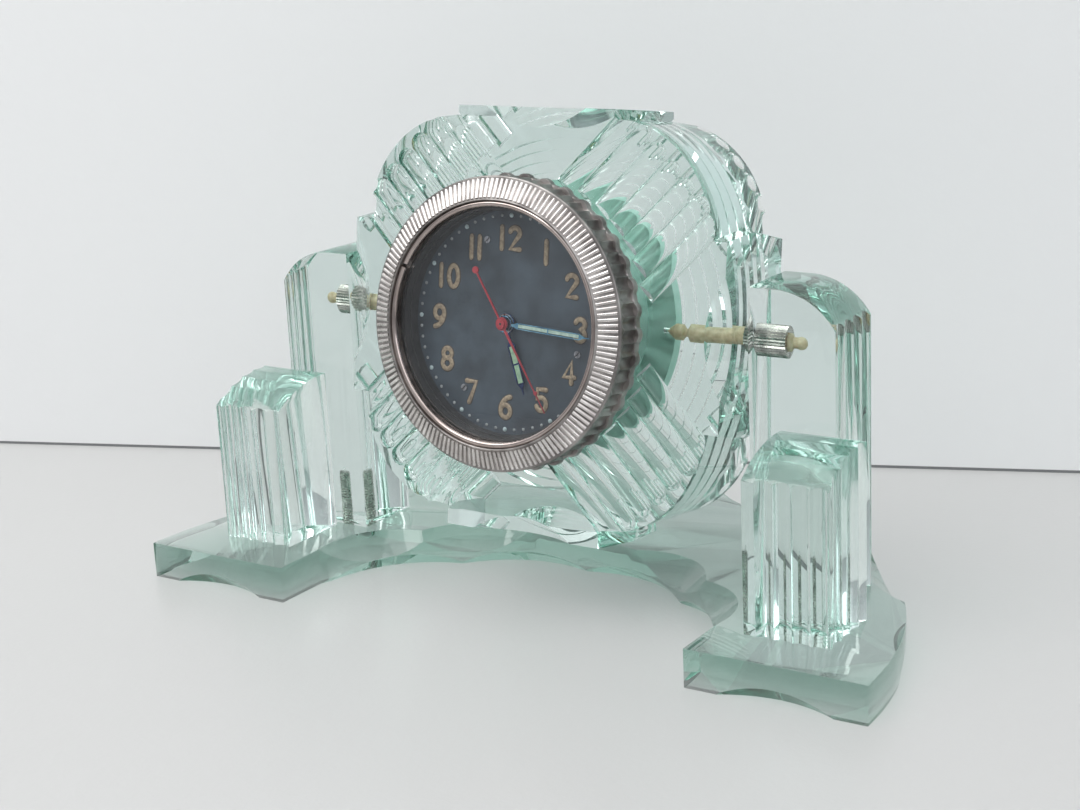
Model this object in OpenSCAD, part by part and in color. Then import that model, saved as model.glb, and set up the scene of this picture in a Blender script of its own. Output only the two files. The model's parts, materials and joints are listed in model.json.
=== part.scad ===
// Desk clock: a cockpit clock in a stand carved from clear green acrylic sheet.
// X runs to the right, Y to the back and Z up. The origin is on the table under
// the middle of the base. All sizes are in millimetres.

/* [Base] */
// Radius of the half-disc base plate, which is also its depth
base_r = 109; // [104:0.5:125]
// Thickness of the base sheet
base_t = 10; // [9:0.5:15]
// Radius of the arch cut out of the front of the base
arch_r = 68; // [66:0.5:72]
// Distance of the arch's centre in front of the feet
arch_setback = 11.6; // [8:0.2:14]
// Width of the opening between the two feet
foot_gap = 124; // [116:0.5:130]
// Radius of the drum that carved the scallops on the arch's top edge
top_drum_r = 26; // [22:0.5:34]
// Depth of those scallops on each face
top_cut = 6.5; // [4:0.25:7.5]
// Radius of the drum that carved the lower edges
low_drum_r = 42; // [34:1:60]
// Depth of the lower scallops on each face
low_cut = 4; // [2:0.25:5]
// Radius of the drum that carved the outer top edge
rim_drum_r = 50; // [40:1:60]
// Depth of the outer scallops on each face
rim_cut = 6; // [3:0.25:7]

/* [Towers and posts] */
// Width of a tall tower
tower_w = 23.1; // [21:0.1:26]
// Depth of a tall tower
tower_d = 20.6; // [18:0.1:24]
// Height of a tall tower above the base
tower_h = 79.3; // [77:0.1:90]
// Width of the level part of a tower's top
tower_flat = 7; // [4:0.5:10]
// Radius of the rounded shoulder of a tower
tower_arc_r = 18.8; // [18:0.2:26]
// Width of a short post
post_w = 22.4; // [20:0.1:24]
// Depth of a short post
post_d = 21.2; // [18:0.1:24]
// Height of a short post above the base
post_h = 45; // [38:0.5:52]
// Radius of the rounded front of a post's top
post_arc_r = 32; // [30:1:45]
// How far the rounded front drops
post_drop = 6.5; // [3:0.25:8]
// Sideways step from the tower's inner face to the post's
post_step = 9.3; // [6:0.1:11]
// Gap between a post and the tower behind it
post_gap = 1.8; // [0.5:0.1:3]
// Spacing of the flutes
flute_pitch = 4.8; // [4:0.1:6]
// Radius of one flute
flute_r = 3.6; // [3.1:0.1:5]
// Depth of one flute
flute_depth = 0.9; // [0.4:0.05:1.4]
// Number of flutes on each fluted face
flute_count = 4; // [2:1:4]

/* [Pivot] */
// Distance of the tilt axis behind the front of the feet
pivot_setback = 47.4; // [45:0.2:52]
// Height of the tilt axis above the table
pivot_h = 74.5; // [71:0.5:80]
// Backward tilt of the clock at rest
tilt = 8.5; // [0:0.5:20]
// Gap between the block's wing and the tower
wing_gap = 5; // [3:0.1:7]
// Radius of the knurled sleeve
sleeve_r = 4; // [3.5:0.1:4.5]
// Length of the sleeve inside the tower
sleeve_sunk = 7.9; // [5:0.1:10]
// Number of ridges on the knurl
knurl_count = 30; // [20:1:40]
// Radius of the bone-coloured pin
pin_r = 2.3; // [1.9:0.1:2.7]
// Length of the pin inside the block
pin_depth = 20.5; // [14:0.5:24]
// Length of the round knob on the pin's outer end
knob_len = 3.2; // [2.5:0.1:3.4]

/* [Screws] */
// Thread radius of the screw that holds a tower
screw_r = 1.5; // [1.2:0.1:2]
// Length of the screw inside the tower
screw_grip = 14.4; // [10:0.2:18]
// Head radius of the screw
screw_head_r = 3.4; // [2.8:0.1:4.5]
// Head height of the screw
screw_head_h = 2.4; // [1.8:0.1:3]
// Depth of the counterbore under the base
screw_sink = 4; // [3:0.25:6]

/* [Block] */
// Half width and half height of the block without its wings
block_half = 52; // [50:0.25:53]
// Radius of the block's corners
block_corner = 28.5; // [24:0.5:30]
// Block thickness in front of the tilt axis
block_front = 14; // [13:0.25:16]
// Block thickness behind the tilt axis
block_back = 16; // [15:0.25:20]
// Distance of the wings' outer faces from the middle
wing_reach = 56.5; // [55:0.25:58]
// Distance from the middle of the block to the outer face of its top wing
top_reach = 54.5; // [52.5:0.25:58]
// Half length of a wing at the front face
wing_half = 23.6; // [21:0.2:24.5]
// Extra half length of a wing at its peak
wing_peak = 2.2; // [0:0.1:3]
// Radius of the drum that carved the wings' edges
wing_drum_r = 34; // [30:1:45]
// Depth of the carving on the wings' edges
wing_cut = 5; // [3:0.25:5.5]
// Number of gouges on each corner
gouge_count = 7; // [3:1:7]
// Spacing of the gouges
gouge_pitch = 5.9; // [5.4:0.1:6]
// Depth of one gouge
gouge_depth = 2.3; // [1.6:0.1:2.5]
// Distance of the gouges' rounded ends along the corner's diagonal
gouge_end = 59.4; // [57:0.2:60.5]
// Radius of the bore for the clock's case
bore_r = 28; // [27.8:0.1:30]
// Radius of the innermost step of the recess in the back
recess_r = 38; // [37:0.25:39]
// Width of one step of the recess
recess_step = 3; // [2:0.25:3.2]
// Depth of one step of the recess
recess_drop = 2; // [1.5:0.1:2.4]
// Number of steps of the recess
recess_count = 4; // [2:1:4]

/* [Case and bezel] */
// Outer radius of the case tube
case_r = 27.5; // [27.2:0.05:27.7]
// Wall of the case tube
case_wall = 1.5; // [1.2:0.1:1.7]
// Radius of the case's front flange and neck
neck_r = 33; // [32.6:0.1:35]
// Radius of the bezel's smooth rim
bezel_r = 37.3; // [36.5:0.1:39]
// Radius of the bezel's window
window_r = 31.1; // [30.6:0.1:31.3]
// Height of the bezel from its rear face to its highest edge
bezel_h = 11.6; // [11:0.1:13]
// Height of the ribbed slope of the bezel
slope_h = 2.3; // [1.6:0.1:3]
// Number of fine ribs on the slope
rib_count = 156; // [100:4:160]
// Radial depth of the fine ribs
rib_depth = 1; // [0.5:0.1:1.3]
// Number of flutes on the grip band
grip_count = 72; // [60:1:76]
// Radius of one flute of the grip band
grip_r = 1.5; // [1.2:0.1:1.8]
// Depth of one flute of the grip band
grip_depth = 0.75; // [0.3:0.05:0.9]
// Number of lobes on the bezel's rear band
lobe_count = 38; // [30:1:40]
// How far the lobes stand out from the rim
lobe_out = 0.7; // [0.3:0.1:1]
// Radius of one lobe
lobe_r = 2.6; // [2:0.1:3.2]
// Height of the lobed band
lobe_h = 2.2; // [1.4:0.1:3]
// Height of the plain rim between the grip flutes and the ribs
rim_h = 1.3; // [0.8:0.1:2]
// Bevel where the rim meets the ribs
rim_bevel = 0.3; // [0.2:0.05:0.5]
// Thickness of the crystal
crystal_t = 1.6; // [1.2:0.1:1.8]
// Wire radius of the split ring that holds the crystal
wire_r = 0.75; // [0.6:0.05:0.85]
// Direction of the split ring's gap
wire_gap_dir = 154; // [0:1:359]
// Outer radius of the clamp nut behind the block
nut_r = 36; // [33:0.5:36.5]
// Height of the clamp nut
nut_h = 3.2; // [2.4:0.1:4]

/* [Dial and hands] */
// Distance of the dial's face in front of the tilt axis
dial_level = 22.3; // [22:0.1:22.8]
// Thickness of the dial
dial_t = 0.8; // [0.5:0.1:1]
// Radius of the dial
dial_r = 29.3; // [28.8:0.1:29.4]
// Distance of the dial screws from the middle
dial_screw_at = 21.9; // [21:0.1:22.5]
// Length of the hour hand
hour_len = 18.7; // [15:0.1:20]
// Length of the minute hand
minute_len = 25.6; // [22:0.1:27]
// Width of the hour hand over its luminous windows
hour_w = 2.2; // [1.6:0.1:2.8]
// Width of the minute hand over its luminous windows
minute_w = 1.6; // [1.2:0.1:2.2]
// Radius of the hour hand's hub
hour_hub_r = 2.6; // [2.4:0.1:3.2]
// Radius of the minute hand's hub
minute_hub_r = 2.1; // [1.8:0.1:2.6]
// Length of the hour hand's luminous windows
hour_lume = 10; // [6:0.5:11]
// Length of the minute hand's luminous windows
minute_lume = 18.5; // [10:0.5:19]
// Length of the dark tip beyond the windows
lume_tip = 3; // [2:0.1:4]
// Length of the seconds hand
second_len = 25.4; // [22:0.1:27]
// Distance of the seconds hand's red disc from the middle
counter_len = 15.6; // [8:0.1:18]
// Minutes that the hands show
minutes_shown = 15.6; // [0:0.1:59.9]
// Hours that the hands show
hours_shown = 5.36; // [0:0.01:11.99]
// Seconds that the hands show
seconds_shown = 24.5; // [0:0.5:59.5]

/* [Movement] */
// Radius of the movement's plates
plate_r = 25.6; // [25.4:0.05:25.7]
// Thickness of the main plate
plate_t = 1.8; // [1.4:0.1:2]
// Thickness of the rear plate
rear_plate_t = 1.5; // [1.2:0.1:1.8]
// Space between the two plates
plate_space = 16.6; // [16.5:0.1:17]
// Radius of a wheel's arbor
arbor_r = 0.4; // [0.3:0.02:0.42]
// Radial clearance of a running fit
run_gap = 0.05; // [0.03:0.01:0.08]
// Tooth size of the winding gears, as pitch diameter over teeth
wind_module = 0.6; // [0.59:0.002:0.602]
// Tooth size of the barrel and centre pinion
barrel_module = 0.3; // [0.298:0.001:0.3]
// Tooth size of the centre wheel and third pinion
centre_module = 0.26; // [0.258:0.001:0.262]
// Tooth size of the fourth wheel and escape pinion
escape_module = 0.28; // [0.278:0.001:0.281]
// Tooth size of the motion work
motion_module = 0.25; // [0.24:0.002:0.255]
// Thickness of a train wheel
wheel_t = 1; // [0.7:0.05:1]
// Outer radius of the balance wheel
balance_r = 6.5; // [5.5:0.1:6.5]
// Width of the balance wheel's rim
balance_rim = 0.9; // [0.6:0.05:1.2]
// Number of turns of the hairspring
hair_turns = 7; // [4:1:8]
// Number of turns of the mainspring
spring_turns = 9; // [6:1:11]

/* [Hidden] */
$fn = 96;
over = 1;
through = 60;
seat_gap = 0.3;
glue_gap = 0.05;

// Stand
front_y = -base_r / 2;
arch_y = front_y - arch_setback;
pivot_y = front_y + pivot_setback;
foot_len = sqrt(arch_r * arch_r - foot_gap * foot_gap / 4) - arch_setback;
side_reach = max(wing_reach, block_half);
tower_x = side_reach + wing_gap;
tower_mid = tower_x + tower_w / 2;
tower_run = tower_w - tower_flat;
tower_drop = tower_arc_r - sqrt(tower_arc_r * tower_arc_r - tower_run * tower_run);
post_x = tower_x + post_step;
post_back = pivot_y - tower_d / 2 - post_gap;
post_run = sqrt(post_arc_r * post_arc_r - pow(post_arc_r - post_drop, 2));
knob_at = tower_x + sleeve_sunk + 1.4;
tower_bore = sleeve_sunk + 1.4 + knob_len + 0.5;

// Clock stack, measured in front of the tilt axis
flange_t = 1.5;
neck_top = block_front + 6;
bezel_low = neck_top + seat_gap;
bezel_top = bezel_low + bezel_h;
skirt_in = window_r - 1.4;
skirt_out = window_r - 0.2;
crystal_low = bezel_top - 3.5;
crystal_top = crystal_low + crystal_t;
neck_bore = skirt_out + 0.15;
neck_lip = 1.1;
ring_low = block_front + 3;
ring_t = 1.4;
ring_out = neck_bore + 0.55;
chamber_r = ring_out + seat_gap;
dial_low = dial_level - dial_t;
recess_floor = -block_back + recess_count * recess_drop;
case_back = -block_back + 2;
case_in = case_r - case_wall;

// Movement, with directions in degrees from three o'clock
main_low = block_front + 0.6;
main_top = main_low + plate_t;
rear_top = main_low - plate_space;
rear_low = rear_top - rear_plate_t;
winding_dir = 180;
third_dir = 330;
escape_dir = 50;
balance_dir = 120;
motion_dir = 0;
ring_teeth = 96;
winding_teeth = 18;
ratchet_teeth = 18;
tooth_tip = 0.85;
barrel_teeth = 72;
centre_pinion_teeth = 12;
centre_teeth = 64;
third_pinion_teeth = 8;
third_teeth = 60;
fourth_pinion_teeth = 8;
fourth_teeth = 60;
escape_pinion_teeth = 6;
escape_teeth = 15;
cannon_teeth = 10;
minute_teeth = 30;
minute_pinion_teeth = 8;
hour_teeth = 32;
pressure = 20;
winding_at = wind_module * (ring_teeth - winding_teeth) / 2;
barrel_at = barrel_module * (barrel_teeth + centre_pinion_teeth) / 2;
ratchet_module = 2 * (winding_at - barrel_at - wind_module * winding_teeth / 2) / ratchet_teeth;
third_at = centre_module * (centre_teeth + third_pinion_teeth) / 2;
third_module = 2 * third_at / (third_teeth + fourth_pinion_teeth);
escape_at = escape_module * (fourth_teeth + escape_pinion_teeth) / 2;
minute_at = motion_module * (cannon_teeth + minute_teeth) / 2;
hour_module = 2 * minute_at / (minute_pinion_teeth + hour_teeth);
escape_r = 4.5;
lever_at = 5.6;
staff_at = 13;
roller_r = 1.5;
wind_low = ring_low + 0.1;
wind_t = 1.2;
motion_low = main_top + 0.5;
hour_low = motion_low + 1.4;
barrel_low = rear_top + 3.5;
barrel_top = barrel_low + 9.5;
barrel_rim_t = 1.4;
barrel_lid_t = 0.8;
barrel_wall = 0.8;
centre_low = main_low - 2;
centre_pinion_low = centre_low - 3.2;
third_low = rear_top + 9;
third_pinion_low = centre_low - 0.4;
fourth_low = rear_top + 1.4;
escape_low = rear_top + 11.4;
balance_low = rear_top + 6;
balance_t = 1.4;
hair_low = rear_top + 3.4;
hair_t = 0.7;
tube_in = 0.7;
tube_r = 1;
cannon_r = 1.4;
hour_tube_in = 1.5;
hour_tube_r = 1.9;
second_r = 0.6;
barrel_arbor_r = 1.4;
hour_level = dial_level + 0.9;
minute_level = dial_level + 1.8;
second_level = dial_level + 2.8;
hand_t = 0.4;
hour_dir = 90 - hours_shown * 30;
minute_dir = 90 - minutes_shown * 6;
second_dir = 90 - seconds_shown * 6;
dial_screw_dirs = [108.6, -16.1, -126.1];
pillar_dirs = [120, 240, 0];
pillar_at = 23.3;
pillar_r = 1.6;
plate_screw_r = 0.8;
cover_screw_dirs = [90, 210, 330];
cover_boss_r = 2.2;
cover_screw_at = case_in - cover_boss_r + 0.5;
cover_t = 1.4;
cock_t = 1.6;
cock_len = 12;
gouge_r = gouge_pitch / 2 - 0.02;

acrylic = [0.72, 0.88, 0.83, 0.6];
steel = [0.72, 0.71, 0.70];
dark_steel = [0.35, 0.35, 0.37];
brass = [0.80, 0.66, 0.36];
bone = [0.88, 0.84, 0.70];
red = [0.75, 0.12, 0.14];
blued = [0.16, 0.20, 0.34];

function polar(r, a) = [r * cos(a), r * sin(a)];
function involute(a) = tan(a) * 180 / PI - a;
function half_tooth(r, rb, half) = half - (r > rb ? involute(acos(rb / r)) : 0);

escape_c = polar(escape_at, escape_dir);
lever_c = escape_c + polar(lever_at, balance_dir);
staff_c = escape_c + polar(staff_at, balance_dir);
ratchet_c = polar(barrel_at, winding_dir);
third_c = polar(third_at, third_dir);
minute_c = polar(minute_at, motion_dir);
ratchet_tip = (ratchet_teeth / 2 + tooth_tip) * ratchet_module;
click_at = ratchet_teeth * ratchet_module / 2 + 3.2;
heel_at = ratchet_teeth * ratchet_module / 2 + 2;
click_nose_dir = winding_dir + 3 * 360 / ratchet_teeth;
click_c = ratchet_c + polar(click_at, click_nose_dir + 50);
cock_c = staff_c + polar(cock_len, balance_dir + 90);

// The clock's own frame: x right, y up the dial, z out of the dial, origin on the tilt axis
module on_clock() {
    translate([0, pivot_y, pivot_h]) rotate([90 - tilt, 0, 0]) children();
}

module at(place, low) {
    translate([place[0], place[1], low]) children();
}

module tube(outer, inner, h) {
    difference() {
        cylinder(r = outer, h = h);
        translate([0, 0, -over]) cylinder(r = inner, h = h + 2 * over);
    }
}

// Involute gear outline with its first tooth along x
module gear_outline(teeth, size, tip = tooth_tip, root = 1.2, play = 0.05) {
    rp = teeth * size / 2;
    rb = rp * cos(pressure);
    half = 90 / teeth - play / rp * 90 / PI + involute(pressure);
    radii = [rp - root * size, rp - 0.4 * size, rp + 0.25 * size, rp + tip * size];
    polygon([
        for (i = [0:teeth - 1], k = [0:7])
            let (r = radii[k < 4 ? k : 7 - k], side = k < 4 ? -1 : 1)
            polar(r, i * 360 / teeth + side * max(0.2, half_tooth(r, rb, half)))
    ]);
}

// A wheel or pinion turned so that a tooth or a gap faces a direction
module gear(teeth, size, h, tooth_dir, gap = false) {
    rotate([0, 0, tooth_dir + (gap ? 180 / teeth : 0)])
        linear_extrude(height = h) gear_outline(teeth, size);
}

module spokes(count, inner, outer, width, h) {
    for (i = [0:count - 1]) rotate([0, 0, i * 360 / count])
        translate([inner, -width / 2, 0]) cube([outer - inner, width, h]);
}

// Wheel blank opened between its spokes
module crossed_wheel(teeth, size, h, tooth_dir, hub, arms) {
    inner = teeth * size / 2 - 1.2 * size - 0.7;
    difference() {
        gear(teeth, size, h, tooth_dir);
        translate([0, 0, -over]) tube(inner, hub, h + 2 * over);
    }
    spokes(arms, hub - 0.2, inner + 0.2, 0.8, h);
}

// Drum that carves a scallop across the edge at the origin. The edge runs along y, and
// the solid lies towards +x and -z of it.
module edge_drum(r, cut, reach) {
    rotate([0, 45, 0]) translate([cut / sqrt(2) - r, 0, 0])
        cylinder(r = r, h = reach, center = true, $fn = 180);
}

// Base plate

module base_outline() {
    difference() {
        translate([0, front_y]) circle(r = base_r, $fn = 240);
        translate([-base_r - over, front_y - base_r - over]) square([2 * base_r + 2 * over, base_r + over]);
        intersection() {
            translate([0, arch_y]) circle(r = arch_r, $fn = 180);
            translate([-foot_gap / 2, front_y - over]) square([foot_gap, base_r]);
        }
        translate([-foot_gap / 2, front_y - over]) square([foot_gap, over + foot_len - 2]);
    }
}

module arch_scallops() {
    top_first = 28.9;
    top_step = 22.6;
    for (side = [-1, 1], i = [0:1]) translate([0, arch_y, base_t])
        rotate([0, 0, 90 + side * (top_first + i * top_step)])
        translate([arch_r, 0, 0]) edge_drum(top_drum_r, top_cut, 26);
    low_first = -46.2;
    low_step = 30.9;
    for (i = [0:3]) translate([0, arch_y, 0]) rotate([0, 0, 90 + low_first + i * low_step])
        translate([arch_r, 0, 0]) mirror([0, 0, 1]) edge_drum(low_drum_r, low_cut, 24);
}

module rim_scallops() {
    rim_step = 35.5;
    for (i = [-1.5:1:1.5]) translate([0, front_y, base_t]) rotate([0, 0, 90 + i * rim_step])
        translate([base_r, 0, 0]) mirror([1, 0, 0]) edge_drum(rim_drum_r, rim_cut, 26);
    for (i = [-2:1:2]) translate([0, front_y, 0]) rotate([0, 0, 90 + i * rim_step])
        translate([base_r, 0, 0]) mirror([1, 0, 0]) mirror([0, 0, 1]) edge_drum(low_drum_r, low_cut, 24);
}

module foot_scallops() {
    for (side = [-1, 1]) translate([side * (foot_gap / 2 + base_r) / 2, front_y, 0])
        rotate([0, 0, 90]) mirror([0, 0, 1]) edge_drum(low_drum_r, low_cut, 24);
}

module base_plate() {
    color(acrylic) difference() {
        linear_extrude(height = base_t) base_outline();
        arch_scallops();
        rim_scallops();
        foot_scallops();
        for (side = [-1, 1]) translate([side * tower_mid, pivot_y, 0]) {
            translate([0, 0, -over]) cylinder(r = screw_r + 0.2, h = base_t + 2 * over);
            translate([0, 0, -over]) cylinder(r = screw_head_r + 0.6, h = screw_sink + over);
        }
    }
}

// Towers and posts

module flute_cuts(first, count, h) {
    for (i = [0:count - 1]) translate([0, first + (i + 0.5) * flute_pitch, -over])
        translate([flute_r - flute_depth, 0, 0]) cylinder(r = flute_r, h = h + 2 * over);
}

module tower_profile() {
    intersection() {
        square([tower_w, tower_h]);
        union() {
            square([tower_flat, tower_h]);
            translate([tower_flat, tower_h - tower_arc_r]) circle(r = tower_arc_r, $fn = 180);
            square([tower_w, tower_h - tower_arc_r]);
        }
    }
}

module tower(side) {
    color(acrylic) translate([0, pivot_y, base_t]) mirror([side < 0 ? 1 : 0, 0, 0])
        translate([tower_x, 0, 0]) difference() {
            translate([0, tower_d / 2, 0]) rotate([90, 0, 0])
                linear_extrude(height = tower_d) tower_profile();
            translate([tower_w, -tower_d / 2, 0])
                flute_cuts((tower_d - flute_count * flute_pitch) / 2, flute_count, tower_h);
            translate([tower_w / 2, 0, -over]) cylinder(r = screw_r + glue_gap, h = screw_grip + 1 + over);
            translate([-over, 0, pivot_h - base_t]) rotate([0, 90, 0])
                cylinder(r = sleeve_r + glue_gap, h = tower_bore + over);
        }
}

module left_tower() { tower(-1); }

module right_tower() { tower(1); }

module post_profile() {
    union() {
        square([post_d, post_h - post_drop]);
        translate([post_run, 0]) square([post_d - post_run, post_h]);
        intersection() {
            square([post_run, post_h]);
            translate([post_run, post_h - post_arc_r]) circle(r = post_arc_r, $fn = 180);
        }
    }
}

// A post lies at x = 0 to post_w and y = 0 to post_d, with its outer face at post_w
module post(side) {
    flat_in = side > 0 ? post_w - flute_count * flute_pitch : 0;
    color(acrylic) translate([0, post_back - post_d, base_t]) mirror([side < 0 ? 1 : 0, 0, 0])
        translate([post_x, 0, 0]) difference() {
            rotate([90, 0, 90]) linear_extrude(height = post_w) post_profile();
            translate([post_w, 0, 0]) flute_cuts(post_d - flute_count * flute_pitch, flute_count, post_h);
            rotate([0, 0, -90]) flute_cuts(flat_in, flute_count, post_h);
        }
}

module left_post() { post(-1); }

module right_post() { post(1); }

module tower_screws() {
    color(steel) for (side = [-1, 1]) translate([side * tower_mid, pivot_y, screw_sink]) {
        cylinder(r = screw_r, h = base_t - screw_sink + screw_grip);
        difference() {
            translate([0, 0, -screw_head_h]) cylinder(r = screw_head_r, h = screw_head_h);
            translate([-screw_head_r - over, -0.4, -screw_head_h - over])
                cube([2 * screw_head_r + 2 * over, 0.8, 0.8 + over]);
        }
    }
}

// Pivot hardware, drawn along z and laid along x

module knurl_outline() {
    polygon([for (i = [0:2 * knurl_count - 1])
        polar(i % 2 == 0 ? sleeve_r : sleeve_r - 0.3, i * 180 / knurl_count)]);
}

module on_pivot(side) {
    on_clock() mirror([side < 0 ? 1 : 0, 0, 0]) rotate([0, 90, 0]) children();
}

module sleeve(side) {
    start = side_reach + seat_gap;
    color(steel) on_pivot(side) translate([0, 0, start]) difference() {
        linear_extrude(height = tower_x + sleeve_sunk - start) knurl_outline();
        translate([0, 0, -over]) cylinder(r = pin_r + run_gap, h = tower_w);
    }
}

module left_sleeve() { sleeve(-1); }

module right_sleeve() { sleeve(1); }

module pivot_pin(side) {
    tip = wing_reach - pin_depth;
    knob_mid = knob_at + knob_len / 2;
    color(bone) on_pivot(side) {
        rotate_extrude() polygon([
            [0, tip], [pin_r * 0.9, tip + 3], [pin_r * 0.9, tip + 5], [pin_r * 0.45, tip + 5.8],
            [pin_r * 0.45, tip + 6.4], [pin_r, tip + 7.2], [pin_r, knob_at - 0.8],
            [pin_r * 0.6, knob_at - 0.2], [pin_r * 0.6, knob_mid], [0, knob_mid]
        ]);
        translate([0, 0, knob_mid]) sphere(r = knob_len / 2);
    }
}

module left_pin() { pivot_pin(-1); }

module right_pin() { pivot_pin(1); }

// Block

module block_outline() {
    straight = block_half - block_corner;
    for (sx = [-1, 1], sy = [-1, 1]) translate([sx * straight, sy * straight])
        circle(r = block_corner, $fn = 180);
    square([2 * block_half, 2 * straight], center = true);
    square([2 * straight, 2 * block_half], center = true);
}

// One bar through the block whose ends are a pair of wings, one of them at x = reach
module wing_bar(reach) {
    translate([-wing_reach, 0, 0]) rotate([90, 0, 90]) linear_extrude(height = wing_reach + reach) polygon([
        [-wing_half, block_front], [-wing_half - wing_peak, 0], [-wing_half, -block_back],
        [wing_half, -block_back], [wing_half + wing_peak, 0], [wing_half, block_front]
    ]);
}

module wing_carving() {
    for (i = [0:3]) rotate([0, 0, 90 * i]) {
        reach = i == 1 ? top_reach : wing_reach;
        translate([reach, 0, block_front]) mirror([1, 0, 0])
            edge_drum(wing_drum_r, wing_cut, 2 * wing_cut + 6);
        translate([reach, 0, -block_back]) mirror([1, 0, 0]) mirror([0, 0, 1])
            edge_drum(wing_drum_r, wing_cut, 2 * wing_cut + 6);
    }
}

// Path of a round-nosed gouge along x, which ends in the shape of its nose
module gouge_path(length) {
    rotate([0, 90, 0]) rotate_extrude() {
        square([gouge_r, length]);
        intersection() {
            translate([0, length]) circle(r = gouge_r);
            translate([0, length - over]) square([gouge_r, gouge_r + over]);
        }
    }
}

// Gouges that run along the diagonal of one corner, on the face at z = 0
module corner_gouges(start_r) {
    lift = gouge_r - gouge_depth;
    nose = sqrt(gouge_r * gouge_r - lift * lift);
    for (i = [0:gouge_count - 1]) {
        side = (i - (gouge_count - 1) / 2) * gouge_pitch;
        start = sqrt(start_r * start_r - side * side);
        rotate([0, 0, 45]) translate([start, side, lift]) gouge_path(gouge_end - nose - start);
    }
}

module clock_block() {
    color(acrylic) on_clock() difference() {
        union() {
            translate([0, 0, -block_back]) linear_extrude(height = block_front + block_back) block_outline();
            wing_bar(wing_reach);
            rotate([0, 0, 90]) wing_bar(top_reach);
        }
        wing_carving();
        for (i = [0:3]) rotate([0, 0, 90 * i]) {
            translate([0, 0, block_front]) corner_gouges(bezel_r - 1.5);
            translate([0, 0, -block_back]) rotate([180, 0, 0])
                corner_gouges(recess_r + recess_count * recess_step);
        }
        translate([0, 0, -block_back - over]) cylinder(r = bore_r, h = block_front + block_back + 2 * over);
        for (i = [1:recess_count]) translate([0, 0, -block_back - over])
            cylinder(r = recess_r + (i - 1) * recess_step, h = (recess_count - i + 1) * recess_drop + over);
        for (side = [-1, 1]) rotate([0, side * 90, 0])
            translate([0, 0, wing_reach - pin_depth - 0.5])
                cylinder(r = pin_r + glue_gap, h = pin_depth + over);
    }
}

// Case

module case_body() {
    color(steel) on_clock() {
        difference() {
            union() {
                translate([0, 0, case_back]) cylinder(r = case_r, h = block_front + flange_t - case_back);
                translate([0, 0, block_front]) cylinder(r = neck_r, h = flange_t);
            }
            translate([0, 0, case_back - over])
                cylinder(r = case_in, h = block_front + flange_t - case_back + 2 * over);
        }
        translate([0, 0, main_low - 1.6]) tube(case_in + 0.2, plate_r - 0.7, 1.6);
        for (a = cover_screw_dirs) at(polar(cover_screw_at, a), case_back) tube(cover_boss_r, 0.85, 5);
    }
}

module neck_ring() {
    color(steel) on_clock() translate([0, 0, block_front + flange_t]) difference() {
        cylinder(r = neck_r, h = neck_top - block_front - flange_t);
        translate([0, 0, -over]) cylinder(r = neck_bore, h = neck_top);
        translate([0, 0, -over])
            cylinder(r = chamber_r, h = neck_top - block_front - flange_t - neck_lip + over);
    }
}

module clamp_nut() {
    color(steel) on_clock() translate([0, 0, recess_floor - nut_h]) difference() {
        cylinder(r = nut_r, h = nut_h);
        translate([0, 0, -over]) cylinder(r = case_r + glue_gap, h = nut_h + 2 * over);
        for (i = [0:3]) rotate([0, 0, 45 + 90 * i]) translate([nut_r - 2.5, -1.5, -over])
            cube([5, 3, 1.5 + over]);
    }
}

module rear_cover() {
    color(steel) on_clock() translate([0, 0, case_back - cover_t]) difference() {
        union() {
            cylinder(r = case_r, h = cover_t);
            translate([0, 0, -0.5]) cylinder(r = cover_screw_at - 2, h = 0.6);
        }
        for (a = cover_screw_dirs) at(polar(cover_screw_at, a), -over)
            cylinder(r = 1, h = cover_t + 2 * over);
    }
}

module cover_screws() {
    color(dark_steel) on_clock() for (a = cover_screw_dirs)
        at(polar(cover_screw_at, a), case_back - cover_t) slotted_screw(1.6, 0.8, 0.8, cover_t + 3);
}

// Cheese-head screw whose head lies below z = 0 and whose shank goes up
module slotted_screw(head_r, head_h, shank_r, shank_h) {
    translate([0, 0, -0.1]) cylinder(r = shank_r, h = shank_h + 0.1);
    difference() {
        translate([0, 0, -head_h]) cylinder(r = head_r, h = head_h);
        translate([-head_r - over, -0.2, -head_h - over])
            cube([2 * head_r + 2 * over, 0.4, head_h / 2 + over]);
    }
}

// Bezel

module star_outline(count, outer, depth) {
    polygon([for (i = [0:count - 1], k = [0:2])
        polar(k == 2 ? outer - depth : outer, (i + k * 0.3) * 360 / count)]);
}

module grip_outline() {
    difference() {
        circle(r = bezel_r, $fn = 180);
        for (i = [0:grip_count - 1]) rotate(i * 360 / grip_count)
            translate([bezel_r + grip_r - grip_depth, 0]) circle(r = grip_r);
    }
}

module lobe_outline() {
    circle(r = bezel_r, $fn = 180);
    for (i = [0:lobe_count - 1]) rotate(i * 360 / lobe_count)
        translate([bezel_r - lobe_r + lobe_out, 0]) circle(r = lobe_r);
}

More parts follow.
